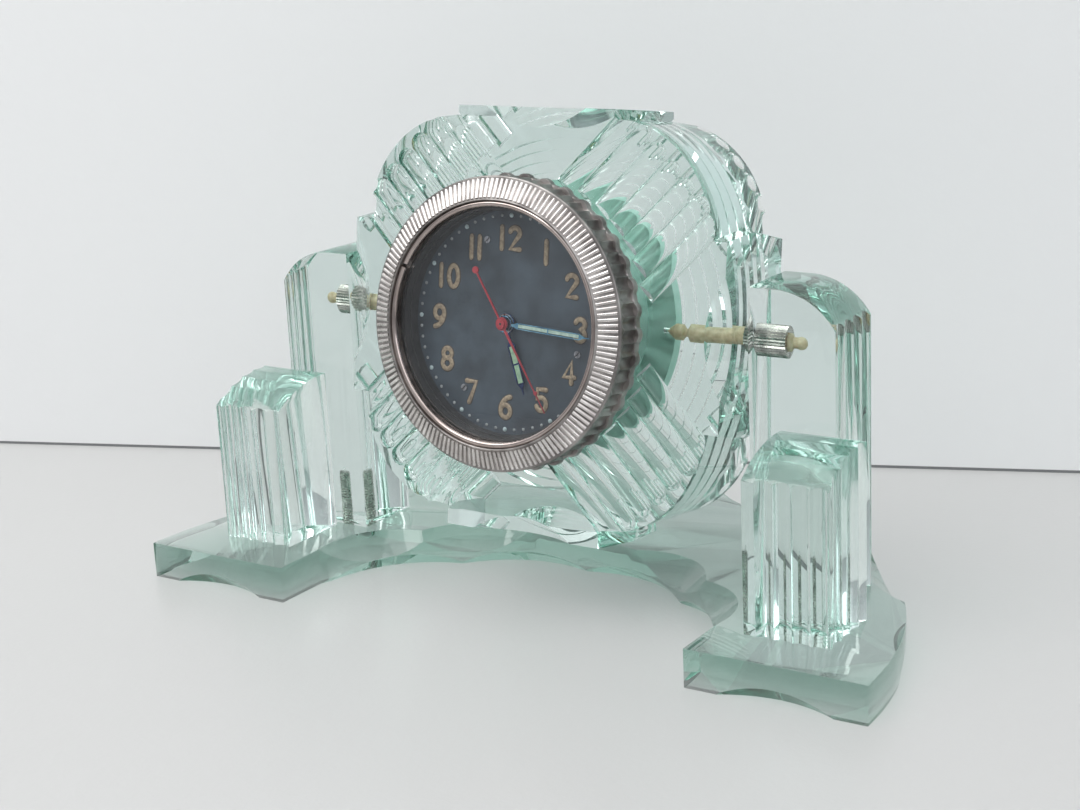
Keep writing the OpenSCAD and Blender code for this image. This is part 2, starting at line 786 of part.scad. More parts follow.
module bezel_ring() {
    rib_r = bezel_r - 2 * rim_bevel;
    slope_low = bezel_top - slope_h;
    color(steel) on_clock() difference() {
        union() {
            translate([0, 0, ring_low + ring_t]) cylinder(r = skirt_out, h = bezel_low - ring_low);
            translate([0, 0, bezel_low]) linear_extrude(height = lobe_h) lobe_outline();
            translate([0, 0, bezel_low + lobe_h])
                linear_extrude(height = bezel_h - slope_h - lobe_h - rim_h) grip_outline();
            translate([0, 0, slope_low - rim_h]) cylinder(r = bezel_r, h = rim_h - rim_bevel);
            translate([0, 0, slope_low - rim_bevel]) cylinder(r1 = bezel_r, r2 = rib_r + 0.1, h = rim_bevel);
            translate([0, 0, slope_low]) linear_extrude(height = slope_h, scale = (window_r + 0.3) / rib_r)
                star_outline(rib_count, rib_r, rib_depth);
        }
        translate([0, 0, ring_low]) cylinder(r = skirt_in, h = bezel_top);
        translate([0, 0, crystal_low]) cylinder(r = window_r, h = bezel_top);
    }
}

// Ring with inward teeth, screwed under the bezel's skirt, which also keeps the bezel on
module winding_ring() {
    color(steel) on_clock() translate([0, 0, ring_low]) difference() {
        cylinder(r = ring_out, h = ring_t);
        translate([0, 0, -over]) rotate([0, 0, winding_dir]) linear_extrude(height = ring_t + 2 * over)
            gear_outline(ring_teeth, wind_module, 1.2, 0.85, -0.05);
    }
}

module crystal() {
    color([0.85, 0.92, 0.95, 0.35]) on_clock() translate([0, 0, crystal_low]) {
        cylinder(r = window_r - 0.3, h = crystal_t - 0.4);
        translate([0, 0, crystal_t - 0.4]) cylinder(r1 = window_r - 0.3, r2 = window_r - 0.7, h = 0.4);
    }
}

module crystal_retainer() {
    color([0.9, 0.88, 0.86]) on_clock() translate([0, 0, crystal_top + wire_r]) difference() {
        rotate_extrude() translate([window_r - wire_r, 0]) circle(r = wire_r, $fn = 32);
        rotate([0, 0, wire_gap_dir]) translate([0, -0.5, -2]) cube([2 * window_r, 1, 4]);
    }
}

// Dial and hands

module dial() {
    color([0.24, 0.27, 0.31]) on_clock() difference() {
        translate([0, 0, dial_low]) cylinder(r = dial_r, h = dial_t);
        translate([0, 0, dial_low - over]) cylinder(r = hour_tube_r + 0.3, h = dial_t + 2 * over);
        for (a = dial_screw_dirs) at(polar(dial_screw_at, a), dial_low - over)
            cylinder(r = 0.55, h = dial_t + 2 * over);
    }
}

module dial_screws() {
    color(dark_steel) on_clock() for (a = dial_screw_dirs) at(polar(dial_screw_at, a), dial_level)
        rotate([180, 0, a]) slotted_screw(0.9, 0.4, 0.45, dial_t + 2);
}

module rehaut_ring() {
    step = (crystal_low - dial_level) / 2;
    color([0.12, 0.12, 0.13]) on_clock() translate([0, 0, dial_level]) {
        tube(skirt_in - seat_gap, skirt_in - 1.2, step);
        translate([0, 0, step]) tube(skirt_in - seat_gap, skirt_in - 0.8, step - seat_gap);
    }
}

// Pencil-shaped hand along x with an open window for the lume
module lumed_hand(length, width, hub_r, bore, lume) {
    window_to = length - lume_tip;
    window_from = window_to - lume;
    mid = (window_from + window_to) / 2;
    difference() {
        union() {
            circle(r = hub_r);
            polygon([
                [0, -0.35], [window_from - 1, -0.35], [window_from, -width / 2],
                [window_to, -width / 2], [window_to + 1.6, -0.15], [length, -0.08],
                [length, 0.08], [window_to + 1.6, 0.15], [window_to, width / 2],
                [window_from, width / 2], [window_from - 1, 0.35], [0, 0.35]
            ]);
        }
        circle(r = bore);
        translate([window_from + 0.3, 0.25 - width / 2]) square([mid - window_from - 0.5, width - 0.5]);
        translate([mid + 0.2, 0.25 - width / 2]) square([window_to - mid - 0.3, width - 0.5]);
    }
}

module hour_hand() {
    color(blued) on_clock() translate([0, 0, hour_level]) rotate([0, 0, hour_dir])
        linear_extrude(height = hand_t) lumed_hand(hour_len, hour_w, hour_hub_r, hour_tube_in, hour_lume);
}

module minute_hand() {
    color(blued) on_clock() translate([0, 0, minute_level]) rotate([0, 0, minute_dir])
        linear_extrude(height = hand_t) lumed_hand(minute_len, minute_w, minute_hub_r, tube_r, minute_lume);
}

module seconds_hand() {
    color(red) on_clock() translate([0, 0, second_level]) {
        rotate([0, 0, second_dir]) linear_extrude(height = hand_t) {
            polygon([[0, -0.3], [second_len, -0.12], [second_len, 0.12], [0, 0.3]]);
            translate([-counter_len, -0.2]) square([counter_len, 0.4]);
            translate([-counter_len, 0]) circle(r = 0.9);
            translate([second_len - 5.6, 0]) circle(r = 0.55);
        }
        cylinder(r = 1.7, h = hand_t);
        cylinder(r = 1.2, h = 0.9);
    }
}

// Movement plates

module arbor_hole(place, r) {
    at(place, -through) cylinder(r = r + run_gap, h = 2 * through, $fn = 32);
}

module main_plate() {
    color(brass) on_clock() {
        difference() {
            translate([0, 0, main_low]) cylinder(r = plate_r, h = plate_t);
            arbor_hole([0, 0], tube_r);
            arbor_hole(ratchet_c, barrel_arbor_r);
            arbor_hole(third_c, arbor_r);
            arbor_hole(escape_c, arbor_r);
            arbor_hole(lever_c, arbor_r);
            arbor_hole(staff_c, arbor_r);
        }
        for (a = dial_screw_dirs) at(polar(dial_screw_at, a), main_top - 0.1) difference() {
            cylinder(r = 1.3, h = dial_low - main_top + 0.1);
            translate([0, 0, 1]) cylinder(r = 0.5, h = dial_low - main_top);
        }
    }
}

module rear_plate() {
    color(brass) on_clock() difference() {
        translate([0, 0, rear_low]) cylinder(r = plate_r - 0.4, h = rear_plate_t);
        at(staff_c, rear_low - over) cylinder(r = balance_r + 0.8, h = rear_plate_t + 2 * over);
        arbor_hole([0, 0], second_r);
        arbor_hole(ratchet_c, barrel_arbor_r);
        arbor_hole(third_c, arbor_r);
        arbor_hole(escape_c, arbor_r);
        arbor_hole(lever_c, arbor_r);
        for (a = pillar_dirs) arbor_hole(polar(pillar_at, a), plate_screw_r);
        arbor_hole(cock_c, plate_screw_r);
    }
}

module plate_pillars() {
    color(brass) on_clock() for (a = pillar_dirs) at(polar(pillar_at, a), rear_top) difference() {
        cylinder(r = pillar_r, h = plate_space);
        translate([0, 0, -over]) cylinder(r = plate_screw_r + glue_gap, h = 3 + over);
    }
}

module plate_screws() {
    color(blued) on_clock() for (a = pillar_dirs)
        at(polar(pillar_at, a), rear_low) slotted_screw(1.5, 0.8, plate_screw_r, rear_plate_t + 2.5);
}

// Winding work, on the dial side of the main plate

module winding_wheel() {
    color(steel) on_clock() at(polar(winding_at, winding_dir), wind_low) difference() {
        gear(winding_teeth, wind_module, wind_t, winding_dir);
        translate([0, 0, -over]) cylinder(r = 1.5 + run_gap, h = wind_t + 2 * over);
    }
}

module winding_stud() {
    color(dark_steel) on_clock() at(polar(winding_at, winding_dir), main_top) {
        cylinder(r = 1.5, h = wind_low + wind_t + 0.2 - main_top);
        cylinder(r = 2.2, h = wind_low - 0.1 - main_top);
        translate([0, 0, wind_low + wind_t + 0.1 - main_top]) cylinder(r = 2.2, h = 0.5);
    }
}

module ratchet_wheel() {
    color(steel) on_clock() at(ratchet_c, wind_low) difference() {
        gear(ratchet_teeth, ratchet_module, wind_t, winding_dir, true);
        translate([0, 0, -over]) cylinder(r = barrel_arbor_r, h = wind_t + 2 * over);
    }
}

module barrel_arbor() {
    color(dark_steel) on_clock() {
        at(ratchet_c, rear_low + 0.1) cylinder(r = barrel_arbor_r, h = wind_low + wind_t - rear_low - 0.1);
        at(ratchet_c, barrel_low + 1.2) cylinder(r = 2.4, h = barrel_top - barrel_low - 1.4);
        at(ratchet_c, wind_low + wind_t) cylinder(r = 2.2, h = 0.5);
    }
}

// Click drawn about its stud, with its nose just clear of the ratchet wheel's teeth
module click() {
    nose = ratchet_c + polar(ratchet_tip + run_gap, click_nose_dir) - click_c;
    heel = ratchet_c + polar(heel_at, click_nose_dir) - click_c;
    side = polar(0.6, click_nose_dir + 90);
    across = polar(0.8, atan2(heel[1], heel[0]) + 90);
    color(steel) on_clock() at(click_c, wind_low) difference() {
        linear_extrude(height = wind_t) {
            circle(r = 1.5, $fn = 48);
            polygon([across, -across, heel - across, heel + across]);
            translate(heel) circle(r = 0.95, $fn = 48);
            polygon([nose - 0.15 * side, heel - side, heel + side, nose + 0.15 * side]);
        }
        translate([0, 0, -over]) cylinder(r = 0.7 + run_gap, h = wind_t + 2 * over);
    }
}

module click_stud() {
    color(dark_steel) on_clock() at(click_c, main_top) {
        cylinder(r = 0.7, h = wind_low + wind_t + 0.2 - main_top);
        translate([0, 0, wind_low + wind_t + 0.1 - main_top]) cylinder(r = 1.2, h = 0.4);
    }
}

module barrel() {
    drum_r = (barrel_teeth / 2 - 1.3) * barrel_module;
    color(brass) on_clock() at(ratchet_c, barrel_low) difference() {
        union() {
            cylinder(r = drum_r, h = barrel_top - barrel_low);
            translate([0, 0, barrel_top - barrel_low - barrel_rim_t])
                gear(barrel_teeth, barrel_module, barrel_rim_t, winding_dir + 180);
        }
        translate([0, 0, 1]) cylinder(r = drum_r - barrel_wall, h = barrel_top);
        translate([0, 0, -over]) cylinder(r = barrel_arbor_r + run_gap, h = 3);
    }
}

module barrel_lid() {
    drum_r = (barrel_teeth / 2 - 1.3) * barrel_module;
    color(brass) on_clock() at(ratchet_c, barrel_top) difference() {
        cylinder(r = drum_r - 0.2, h = barrel_lid_t);
        translate([0, 0, -over]) cylinder(r = barrel_arbor_r + run_gap, h = barrel_lid_t + 2 * over);
    }
}

// Flat spiral strip from one radius to another
module spiral_outline(inner, outer, turns, thick) {
    steps = turns * 20;
    polygon([
        for (i = [0:steps]) polar(inner + (outer - inner) * i / steps, i * 18),
        for (i = [steps:-1:0]) polar(inner + thick + (outer - inner) * i / steps, i * 18)
    ]);
}

module mainspring() {
    drum_r = (barrel_teeth / 2 - 1.3) * barrel_module;
    color(dark_steel) on_clock() at(ratchet_c, barrel_low + 1.3)
        linear_extrude(height = barrel_top - barrel_low - 1.9)
        spiral_outline(2.6, drum_r - barrel_wall - 0.35, spring_turns, 0.3);
}

// Going train, between the plates

module centre_wheel() {
    color(brass) on_clock() {
        difference() {
            union() {
                translate([0, 0, centre_low])
                    crossed_wheel(centre_teeth, centre_module, wheel_t, third_dir, 2, 4);
                translate([0, 0, centre_pinion_low]) gear(centre_pinion_teeth, barrel_module,
                    centre_low - centre_pinion_low, winding_dir, true);
                translate([0, 0, centre_low]) cylinder(r = 2.1, h = wheel_t);
                translate([0, 0, centre_pinion_low])
                    cylinder(r = tube_r, h = minute_level + hand_t - centre_pinion_low, $fn = 48);
            }
            translate([0, 0, centre_pinion_low - over]) cylinder(r = tube_in, h = through, $fn = 48);
        }
    }
}

module cannon_pinion() {
    color(steel) on_clock() difference() {
        union() {
            translate([0, 0, motion_low]) gear(cannon_teeth, motion_module, wheel_t, motion_dir, true);
            translate([0, 0, motion_low + wheel_t])
                cylinder(r = cannon_r, h = minute_level - motion_low - wheel_t, $fn = 48);
        }
        translate([0, 0, motion_low - over]) cylinder(r = tube_r, h = through, $fn = 48);
    }
}

module minute_wheel() {
    color(brass) on_clock() at(minute_c, motion_low) difference() {
        union() {
            crossed_wheel(minute_teeth, motion_module, wheel_t, motion_dir + 180, 1.4, 3);
            cylinder(r = 1.5, h = wheel_t);
            cylinder(r = 0.75, h = hour_low - motion_low);
            translate([0, 0, hour_low - motion_low])
                gear(minute_pinion_teeth, hour_module, wheel_t, motion_dir + 180, true);
        }
        translate([0, 0, -over]) cylinder(r = 0.45 + run_gap, h = 6, $fn = 32);
    }
}

module minute_stud() {
    color(dark_steel) on_clock() at(minute_c, main_top)
        cylinder(r = 0.45, h = hour_low + wheel_t + 0.2 - main_top, $fn = 32);
}

module hour_wheel() {
    color(brass) on_clock() difference() {
        union() {
            translate([0, 0, hour_low]) crossed_wheel(hour_teeth, hour_module, wheel_t, motion_dir, 2.2, 3);
            translate([0, 0, hour_low]) cylinder(r = 2.3, h = wheel_t);
            translate([0, 0, hour_low]) cylinder(r = hour_tube_r, h = hour_level - hour_low, $fn = 48);
        }
        translate([0, 0, hour_low - over]) cylinder(r = hour_tube_in, h = through, $fn = 48);
    }
}

module third_wheel() {
    color(brass) on_clock() {
        at(third_c, rear_low + 0.1) cylinder(r = arbor_r, h = main_top - rear_low - 0.2, $fn = 32);
        at(third_c, third_low) crossed_wheel(third_teeth, third_module, wheel_t, third_dir + 180, 1.6, 4);
        at(third_c, third_low) cylinder(r = 1.7, h = wheel_t);
        at(third_c, third_pinion_low)
            gear(third_pinion_teeth, centre_module, wheel_t + 0.8, third_dir + 180, true);
    }
}

// Fourth wheel, whose long arbor carries the seconds hand
module fourth_wheel() {
    color(brass) on_clock() {
        translate([0, 0, rear_low + 0.1]) cylinder(r = second_r, h = second_level - rear_low - 0.1, $fn = 32);
        translate([0, 0, fourth_low]) crossed_wheel(fourth_teeth, escape_module, wheel_t, escape_dir, 1.6, 4);
        translate([0, 0, fourth_low]) cylinder(r = 1.7, h = wheel_t);
        translate([0, 0, third_low - 0.2])
            gear(fourth_pinion_teeth, third_module, wheel_t + 0.4, third_dir, true);
    }
}

module escape_outline() {
    polygon([for (i = [0:escape_teeth - 1], k = [0:3]) let (a = balance_dir + i * 360 / escape_teeth)
        polar([3.5, escape_r, escape_r, 3.5][k], a + [-1.5, -0.8, 0.8, 7][k])]);
}

module escape_wheel() {
    color(steel) on_clock() {
        at(escape_c, rear_low + 0.1) cylinder(r = arbor_r, h = main_top - rear_low - 0.2, $fn = 32);
        at(escape_c, fourth_low - 0.2)
            gear(escape_pinion_teeth, escape_module, wheel_t + 0.4, escape_dir + 180, true);
        at(escape_c, escape_low) difference() {
            linear_extrude(height = wheel_t) escape_outline();
            translate([0, 0, -over]) tube(2.8, 1.2, wheel_t + 2 * over);
        }
        at(escape_c, escape_low) spokes(4, 1, 3, 0.6, wheel_t);
    }
}

// Lever drawn with the escape wheel at the origin and the balance along x
module lever_outline() {
    pallet_r = escape_r + 0.1;
    circle_r = roller_r + 0.15;
    for (side = [-1, 1]) {
        polygon([polar(pallet_r, side * 27), polar(pallet_r, side * 33), polar(pallet_r + 0.9, side * 34),
            [lever_at + 0.3, side * 0.9], [lever_at - 0.6, side * 0.4], polar(pallet_r + 0.7, side * 25)]);
        polygon([[lever_at, side * 0.45], [staff_at - circle_r, side * 0.9],
            [staff_at - circle_r, side * 0.3], [staff_at - circle_r - 0.6, side * 0.2], [lever_at, 0]]);
    }
    translate([lever_at, 0]) circle(r = 0.95, $fn = 32);
}

module pallet_lever() {
    color(steel) on_clock() {
        at(lever_c, rear_low + 0.1) cylinder(r = arbor_r, h = main_top - rear_low - 0.2, $fn = 32);
        at(escape_c, escape_low) rotate([0, 0, balance_dir]) linear_extrude(height = wheel_t) lever_outline();
    }
}

module balance_wheel() {
    color(brass) on_clock() {
        at(staff_c, rear_low - 1.2) cylinder(r = arbor_r, h = main_top - rear_low + 1.1, $fn = 32);
        at(staff_c, balance_low) tube(balance_r, balance_r - balance_rim, balance_t);
        at(staff_c, balance_low + 0.3) rotate([0, 0, balance_dir])
            spokes(2, 0, balance_r - balance_rim + 0.2, 1.2, 0.8);
        at(staff_c, escape_low) cylinder(r = roller_r, h = wheel_t);
    }
}

module hairspring() {
    color(blued) on_clock() at(staff_c, hair_low) linear_extrude(height = hair_t)
        spiral_outline(0.8, 4, hair_turns, 0.12);
}

module balance_cock() {
    color(brass) on_clock() translate([0, 0, rear_low - cock_t]) difference() {
        union() {
            at(staff_c, 0) cylinder(r = 2.4, h = cock_t);
            at(cock_c, 0) cylinder(r = 2.6, h = cock_t);
            at(staff_c, 0) rotate([0, 0, balance_dir + 90]) translate([0, -2, 0]) cube([cock_len, 4, cock_t]);
        }
        at(staff_c, -over) cylinder(r = arbor_r + run_gap, h = cock_t + 2 * over, $fn = 32);
        at(cock_c, -over) cylinder(r = plate_screw_r + glue_gap, h = cock_t + 2 * over);
    }
}

module cock_screw() {
    color(blued) on_clock() at(cock_c, rear_low - cock_t)
        slotted_screw(1.5, 0.8, plate_screw_r, cock_t + rear_plate_t);
}

base_plate();
left_tower();
right_tower();
left_post();
right_post();
tower_screws();
left_sleeve();
right_sleeve();
left_pin();
right_pin();
clock_block();
case_body();
neck_ring();
clamp_nut();
rear_cover();
cover_screws();
bezel_ring();
winding_ring();
crystal();
crystal_retainer();
dial();
dial_screws();
rehaut_ring();
hour_hand();
minute_hand();
seconds_hand();
main_plate();
rear_plate();
plate_pillars();
plate_screws();
winding_wheel();
winding_stud();
ratchet_wheel();
barrel_arbor();
click();
click_stud();
barrel();
barrel_lid();
mainspring();
centre_wheel();
cannon_pinion();
minute_wheel();
minute_stud();
hour_wheel();
third_wheel();
fourth_wheel();
escape_wheel();
pallet_lever();
balance_wheel();
hairspring();
balance_cock();
cock_screw();
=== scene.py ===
"""Desk clock: a round cockpit clock that tilts in a stand carved from clear green acrylic.

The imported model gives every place. Lengths in this file are millimetres in the clock's own
frame, where x runs across, y up the dial and z out of it, until on_clock() or MM turns them
into metres. The settings and the stage are in metres.
"""

import json
import math
from functools import cache

import bmesh
import bpy
from mathutils import Matrix, Vector

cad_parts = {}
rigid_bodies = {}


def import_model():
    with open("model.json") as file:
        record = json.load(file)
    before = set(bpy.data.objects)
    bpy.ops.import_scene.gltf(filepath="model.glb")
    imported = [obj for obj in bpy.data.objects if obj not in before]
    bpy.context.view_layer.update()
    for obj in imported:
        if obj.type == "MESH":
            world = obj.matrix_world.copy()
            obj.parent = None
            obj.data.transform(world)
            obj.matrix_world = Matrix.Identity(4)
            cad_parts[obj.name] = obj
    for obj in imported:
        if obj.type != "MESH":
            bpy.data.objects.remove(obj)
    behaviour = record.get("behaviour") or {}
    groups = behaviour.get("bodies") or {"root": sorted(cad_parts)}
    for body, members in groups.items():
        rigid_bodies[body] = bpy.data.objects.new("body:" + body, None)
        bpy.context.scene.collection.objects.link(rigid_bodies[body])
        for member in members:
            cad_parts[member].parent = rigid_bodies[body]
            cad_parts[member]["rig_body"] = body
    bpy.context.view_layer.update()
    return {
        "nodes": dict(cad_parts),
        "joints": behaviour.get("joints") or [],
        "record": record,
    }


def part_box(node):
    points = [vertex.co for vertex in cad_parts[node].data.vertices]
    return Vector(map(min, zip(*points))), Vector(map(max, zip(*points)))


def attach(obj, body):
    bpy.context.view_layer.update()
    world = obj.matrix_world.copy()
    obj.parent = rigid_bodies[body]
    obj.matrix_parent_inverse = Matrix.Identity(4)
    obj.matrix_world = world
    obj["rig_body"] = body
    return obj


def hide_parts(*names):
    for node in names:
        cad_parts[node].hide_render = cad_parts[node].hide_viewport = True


bl_info = {
    "name": "Acrylic desk clock",
    "version": (1, 0, 0),
    "blender": (4, 5, 0),
    "location": "View3D > Sidebar > Desk clock",
    "description": "Dresses the packed desk clock with its acrylic, metal and dial",
    "category": "Object",
}

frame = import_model()

MM = 0.001
JOINTS = {joint["name"]: joint for joint in frame["joints"]}
SLOTS = {part["node"]: part["material_slot"] for part in frame["record"]["subparts"]}
PIVOT = Vector(JOINTS["head_tilt"]["pos_m"])
OUT = Vector(JOINTS["bezel_turn"]["axis"]).normalized()
ACROSS = Vector((1, 0, 0))
UP = OUT.cross(ACROSS)
CLOCK = Matrix.Translation(PIVOT) @ Matrix((ACROSS, UP, OUT)).transposed().to_4x4()

PHOTO_WIDTH, PHOTO_HEIGHT = 1080, 810
# Width of the camera's sensor, in millimetres
SENSOR = 36.0

# Distances in metres within which two corners are one, in a shape made here and in a CAD mesh
SAME_CORNER, SAME_CAD_CORNER = 1e-7, 1e-6
# Edges under this angle are shaded smooth, in degrees
SHARP = 30.0
# The same for knurls, knobs and hands, for cut metal, and for small round shapes of few faces
FINE_SHARP, CUT_SHARP, ROUND_SHARP = 25.0, 40.0, 60.0
# On a piece whose edges are eased, faces under the first angle are one flat, edges over the
# second are eased, and edges under the third are shaded smooth
FLAT, CORNER, EASED_SHARP = 0.5, 50.0, 24.0


# Places and meshes


def on_clock(x, y, z):
    """A place in the clock's own frame, in millimetres, as metres in the row frame."""
    return CLOCK @ Vector((x * MM, y * MM, z * MM))


def polar(radius, degrees):
    """A point at a radius and a direction from three o'clock."""
    return radius * math.cos(math.radians(degrees)), radius * math.sin(math.radians(degrees))


def clock_points(piece):
    """The corners of a piece in the clock's own frame, in millimetres."""
    back = CLOCK.inverted()
    return [back @ v.co / MM for v in piece.data.vertices]


def clock_span(node):
    """Lowest and highest corner of a node in the clock's own frame, in millimetres."""
    points = clock_points(frame["nodes"][node])
    low = Vector([min(p[i] for p in points) for i in range(3)])
    high = Vector([max(p[i] for p in points) for i in range(3)])
    return low, high


def new_piece(mesh):
    """Links a mesh or curve into the scene as an object of its name at the origin."""
    piece = bpy.data.objects.new(mesh.name, mesh)
    bpy.context.scene.collection.objects.link(piece)
    return piece


def dress(mesh, material, body, sharp=SHARP, stands_for=()):
    """Makes a mesh a finished piece, with its material, smooth shading and body."""
    piece = new_piece(mesh)
    mesh.materials.clear()
    mesh.materials.append(material)
    mesh.shade_smooth()
    mesh.set_sharp_from_angle(angle=math.radians(sharp))
    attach(piece, body)
    if stands_for:
        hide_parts(*stands_for)
    return piece


def mesh_from(name, points, faces):
    """A mesh with its doubles merged and its faces turned outwards."""
    mesh = bpy.data.meshes.new(name)
    mesh.from_pydata([tuple(p) for p in points], [], faces)
    work = bmesh.new()
    work.from_mesh(mesh)
    bmesh.ops.remove_doubles(work, verts=work.verts, dist=SAME_CORNER)
    bmesh.ops.recalc_face_normals(work, faces=work.faces)
    work.to_mesh(mesh)
    work.free()
    return mesh


def ring_mesh(name, profile, count):
    """A closed ring. profile(degrees) gives the section there as (radius, height) pairs."""
    points, faces = [], []
    rows = len(profile(0.0))
    for k in range(count):
        degrees = k * 360.0 / count
        for radius, height in profile(degrees):
            x, y = polar(radius, degrees)
            points.append(on_clock(x, y, height))
    for k in range(count):
        for j in range(rows):
            a, b = k * rows, (k + 1) % count * rows
            n = (j + 1) % rows
            faces.append((a + j, b + j, b + n, a + n))
    return mesh_from(name, points, faces)


def turned_mesh(name, profile, count):
    """A closed solid of revolution whose section starts and ends on the axis."""
    points, faces = [on_clock(0, 0, profile[0][1])], []
    rows = len(profile) - 2
    for k in range(count):
        for radius, height in profile[1:-1]:
            x, y = polar(radius, k * 360.0 / count)
            points.append(on_clock(x, y, height))
    points.append(on_clock(0, 0, profile[-1][1]))
    last = len(points) - 1
    for k in range(count):
        a, b = 1 + k * rows, 1 + (k + 1) % count * rows
        faces.append((0, b, a))
        faces.append((last, a + rows - 1, b + rows - 1))
        for j in range(rows - 1):
            faces.append((a + j, b + j, b + j + 1, a + j + 1))
    return mesh_from(name, points, faces)


def on_dial(mesh, name):
    """Takes a mesh that was drawn in millimetres to its place on the clock and names it."""
    mesh.transform(CLOCK @ Matrix.Scale(MM, 4))
    mesh.name = name
    return mesh


def slab_mesh(name, outlines, low, high, place=on_clock):
    """Closed prisms over flat outlines, between two heights."""
    points, faces = [], []
    for outline in outlines:
        start, n = len(points), len(outline)
        points += [place(x, y, low) for x, y in outline]
        points += [place(x, y, high) for x, y in outline]
        faces.append(tuple(start + i for i in range(n)))
        faces.append(tuple(start + n + i for i in range(n)))
        for i in range(n):
            j = (i + 1) % n
            faces.append((start + i, start + j, start + n + j, start + n + i))
    return mesh_from(name, points, faces)


def joined(name, *meshes):
    """Several meshes as one."""
    work = bmesh.new()
    for mesh in meshes:
        work.from_mesh(mesh)
    result = bpy.data.meshes.new(name)
    work.to_mesh(result)
    work.free()
    return result


def polished(node, material, sharp=SHARP, lift=0.0):
    """Smooth copy of a CAD node that stands for it, with its doubles merged, lifted in millimetres."""
    source = frame["nodes"][node]
    mesh = source.data.copy()
    if "custom_normal" in mesh.attributes:
        mesh.attributes.remove(mesh.attributes["custom_normal"])
    work = bmesh.new()
    work.from_mesh(mesh)
    bmesh.ops.remove_doubles(work, verts=work.verts, dist=SAME_CAD_CORNER)
    bmesh.ops.translate(work, verts=work.verts, vec=(0, 0, lift * MM))
    work.to_mesh(mesh)
    work.free()
    mesh.name = node + "_finish"
    return dress(mesh, material, source["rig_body"], sharp, (node,))


def softened(piece, radius):
    """Eases the sharp edges of a flat-sided piece, so that they catch the light."""
    mesh = piece.data
    work = bmesh.new()
    work.from_mesh(mesh)
    bmesh.ops.dissolve_limit(work, angle_limit=math.radians(FLAT), verts=work.verts, edges=work.edges)
    corners = [e for e in work.edges if e.is_manifold and e.calc_face_angle() > math.radians(CORNER)]
    bmesh.ops.bevel(work, geom=corners, offset=radius * MM, offset_type="OFFSET", segments=2, profile=0.5,
                    affect="EDGES", clamp_overlap=True)
    work.to_mesh(mesh)
    work.free()
    mesh.shade_smooth()
    mesh.set_sharp_from_angle(angle=math.radians(EASED_SHARP))
    return piece


def bedded(piece, place, axis, reach, bore):
    """Narrows a bore of a clear piece, so that no film of air hides the rod that sits in it.

    reach is the radius about the axis within which the bore's corners lie, and bore(corner) gives
    the radius that is left, in millimetres.
    """
    for v in piece.data.vertices:
        off = v.co - place
        off -= axis * off.dot(axis)
        if 0 < off.length < reach * MM:
            v.co += off.normalized() * bore(v.co) * MM - off


# Nodes and colours

# Where a mottled pattern's ramp starts and ends, so that both of its colours show
RAMP_LOW, RAMP_HIGH = 0.36, 0.66
# Size of the spots in a finish's roughness, as a share of those in its colour
ROUGH_SPOT = 0.7


def linear(hex_colour):
    """An sRGB hex colour as the linear RGBA that shaders take."""
    channels = [int(hex_colour[i : i + 2], 16) / 255 for i in (1, 3, 5)]
    return tuple(c / 12.92 if c <= 0.04045 else ((c + 0.055) / 1.055) ** 2.4 for c in channels) + (1.0,)


def add(tree, kind, links=None, **options):
    """Adds a node. links gives each input, by name or number, a value or a socket to link from."""
    node = tree.nodes.new(kind)
    for name, value in options.items():
        setattr(node, name, value)
    for key, value in (links or {}).items():
        if isinstance(value, bpy.types.NodeSocket):
            tree.links.new(value, node.inputs[key])
        else:
            node.inputs[key].default_value = value
    return node


def new_material(name):
    """An empty node material with its output."""
    material = bpy.data.materials.new(name)
    material.use_nodes = True
    tree = material.node_tree
    tree.nodes.clear()
    return material, tree, tree.nodes.new("ShaderNodeOutputMaterial")


def mottled(tree, spot_mm, low, high, detail=3.0, stretch=(1, 1, 1)):
    """Noise in object space with spots of a real size, spread between two colours or greys."""
    place = add(tree, "ShaderNodeTexCoord").outputs["Object"]
    if stretch != (1, 1, 1):
        place = add(tree, "ShaderNodeMapping", {"Vector": place, "Scale": stretch}).outputs["Vector"]
    noise = add(tree, "ShaderNodeTexNoise", {
        "Vector": place, "Scale": 1 / (spot_mm * MM), "Detail": detail})
    ramp = add(tree, "ShaderNodeValToRGB", {"Fac": noise.outputs["Fac"]})
    low_stop, high_stop = ramp.color_ramp.elements
    low_stop.position, high_stop.position = RAMP_LOW, RAMP_HIGH
    low_stop.color = low if isinstance(low, tuple) else (low, low, low, 1)
    high_stop.color = high if isinstance(high, tuple) else (high, high, high, 1)
    return ramp.outputs["Color"]


def relief(tree, wide_mm, high_mm, detail, stretch=(1, 1, 1)):
    """A normal that is roughened by soft bumps of a real width and height."""
    height = mottled(tree, wide_mm, 0.0, 1.0, detail, stretch)
    bump = add(tree, "ShaderNodeBump", {"Height": height, "Distance": high_mm * MM, "Strength": 1.0})
    return bump.outputs["Normal"]


def finish(name, low, high, spot_mm, rough, bump_mm, grain_mm, metallic=0.0, stretch=(1, 1, 1), **sockets):
    """A finish that varies between two colours and two roughnesses, over a fine grain.

    Colours change over spot_mm and roughness over a smaller spot. The grain is grain_mm wide
    and bump_mm high. sockets gives the shader's other inputs.
    """
    material, tree, output = new_material(name)
    grain = relief(tree, grain_mm, bump_mm, detail=2.0, stretch=stretch)
    links = {
        "Base Color": mottled(tree, spot_mm, linear(low), linear(high)),
        "Roughness": mottled(tree, spot_mm * ROUGH_SPOT, *rough, detail=4.0, stretch=stretch),
        "Metallic": metallic,
        "Normal": grain,
    }
    links.update({key.replace("_", " "): value for key, value in sockets.items()})
    shader = add(tree, "ShaderNodeBsdfPrincipled", links)
    tree.links.new(shader.outputs["BSDF"], output.inputs["Surface"])
    return material


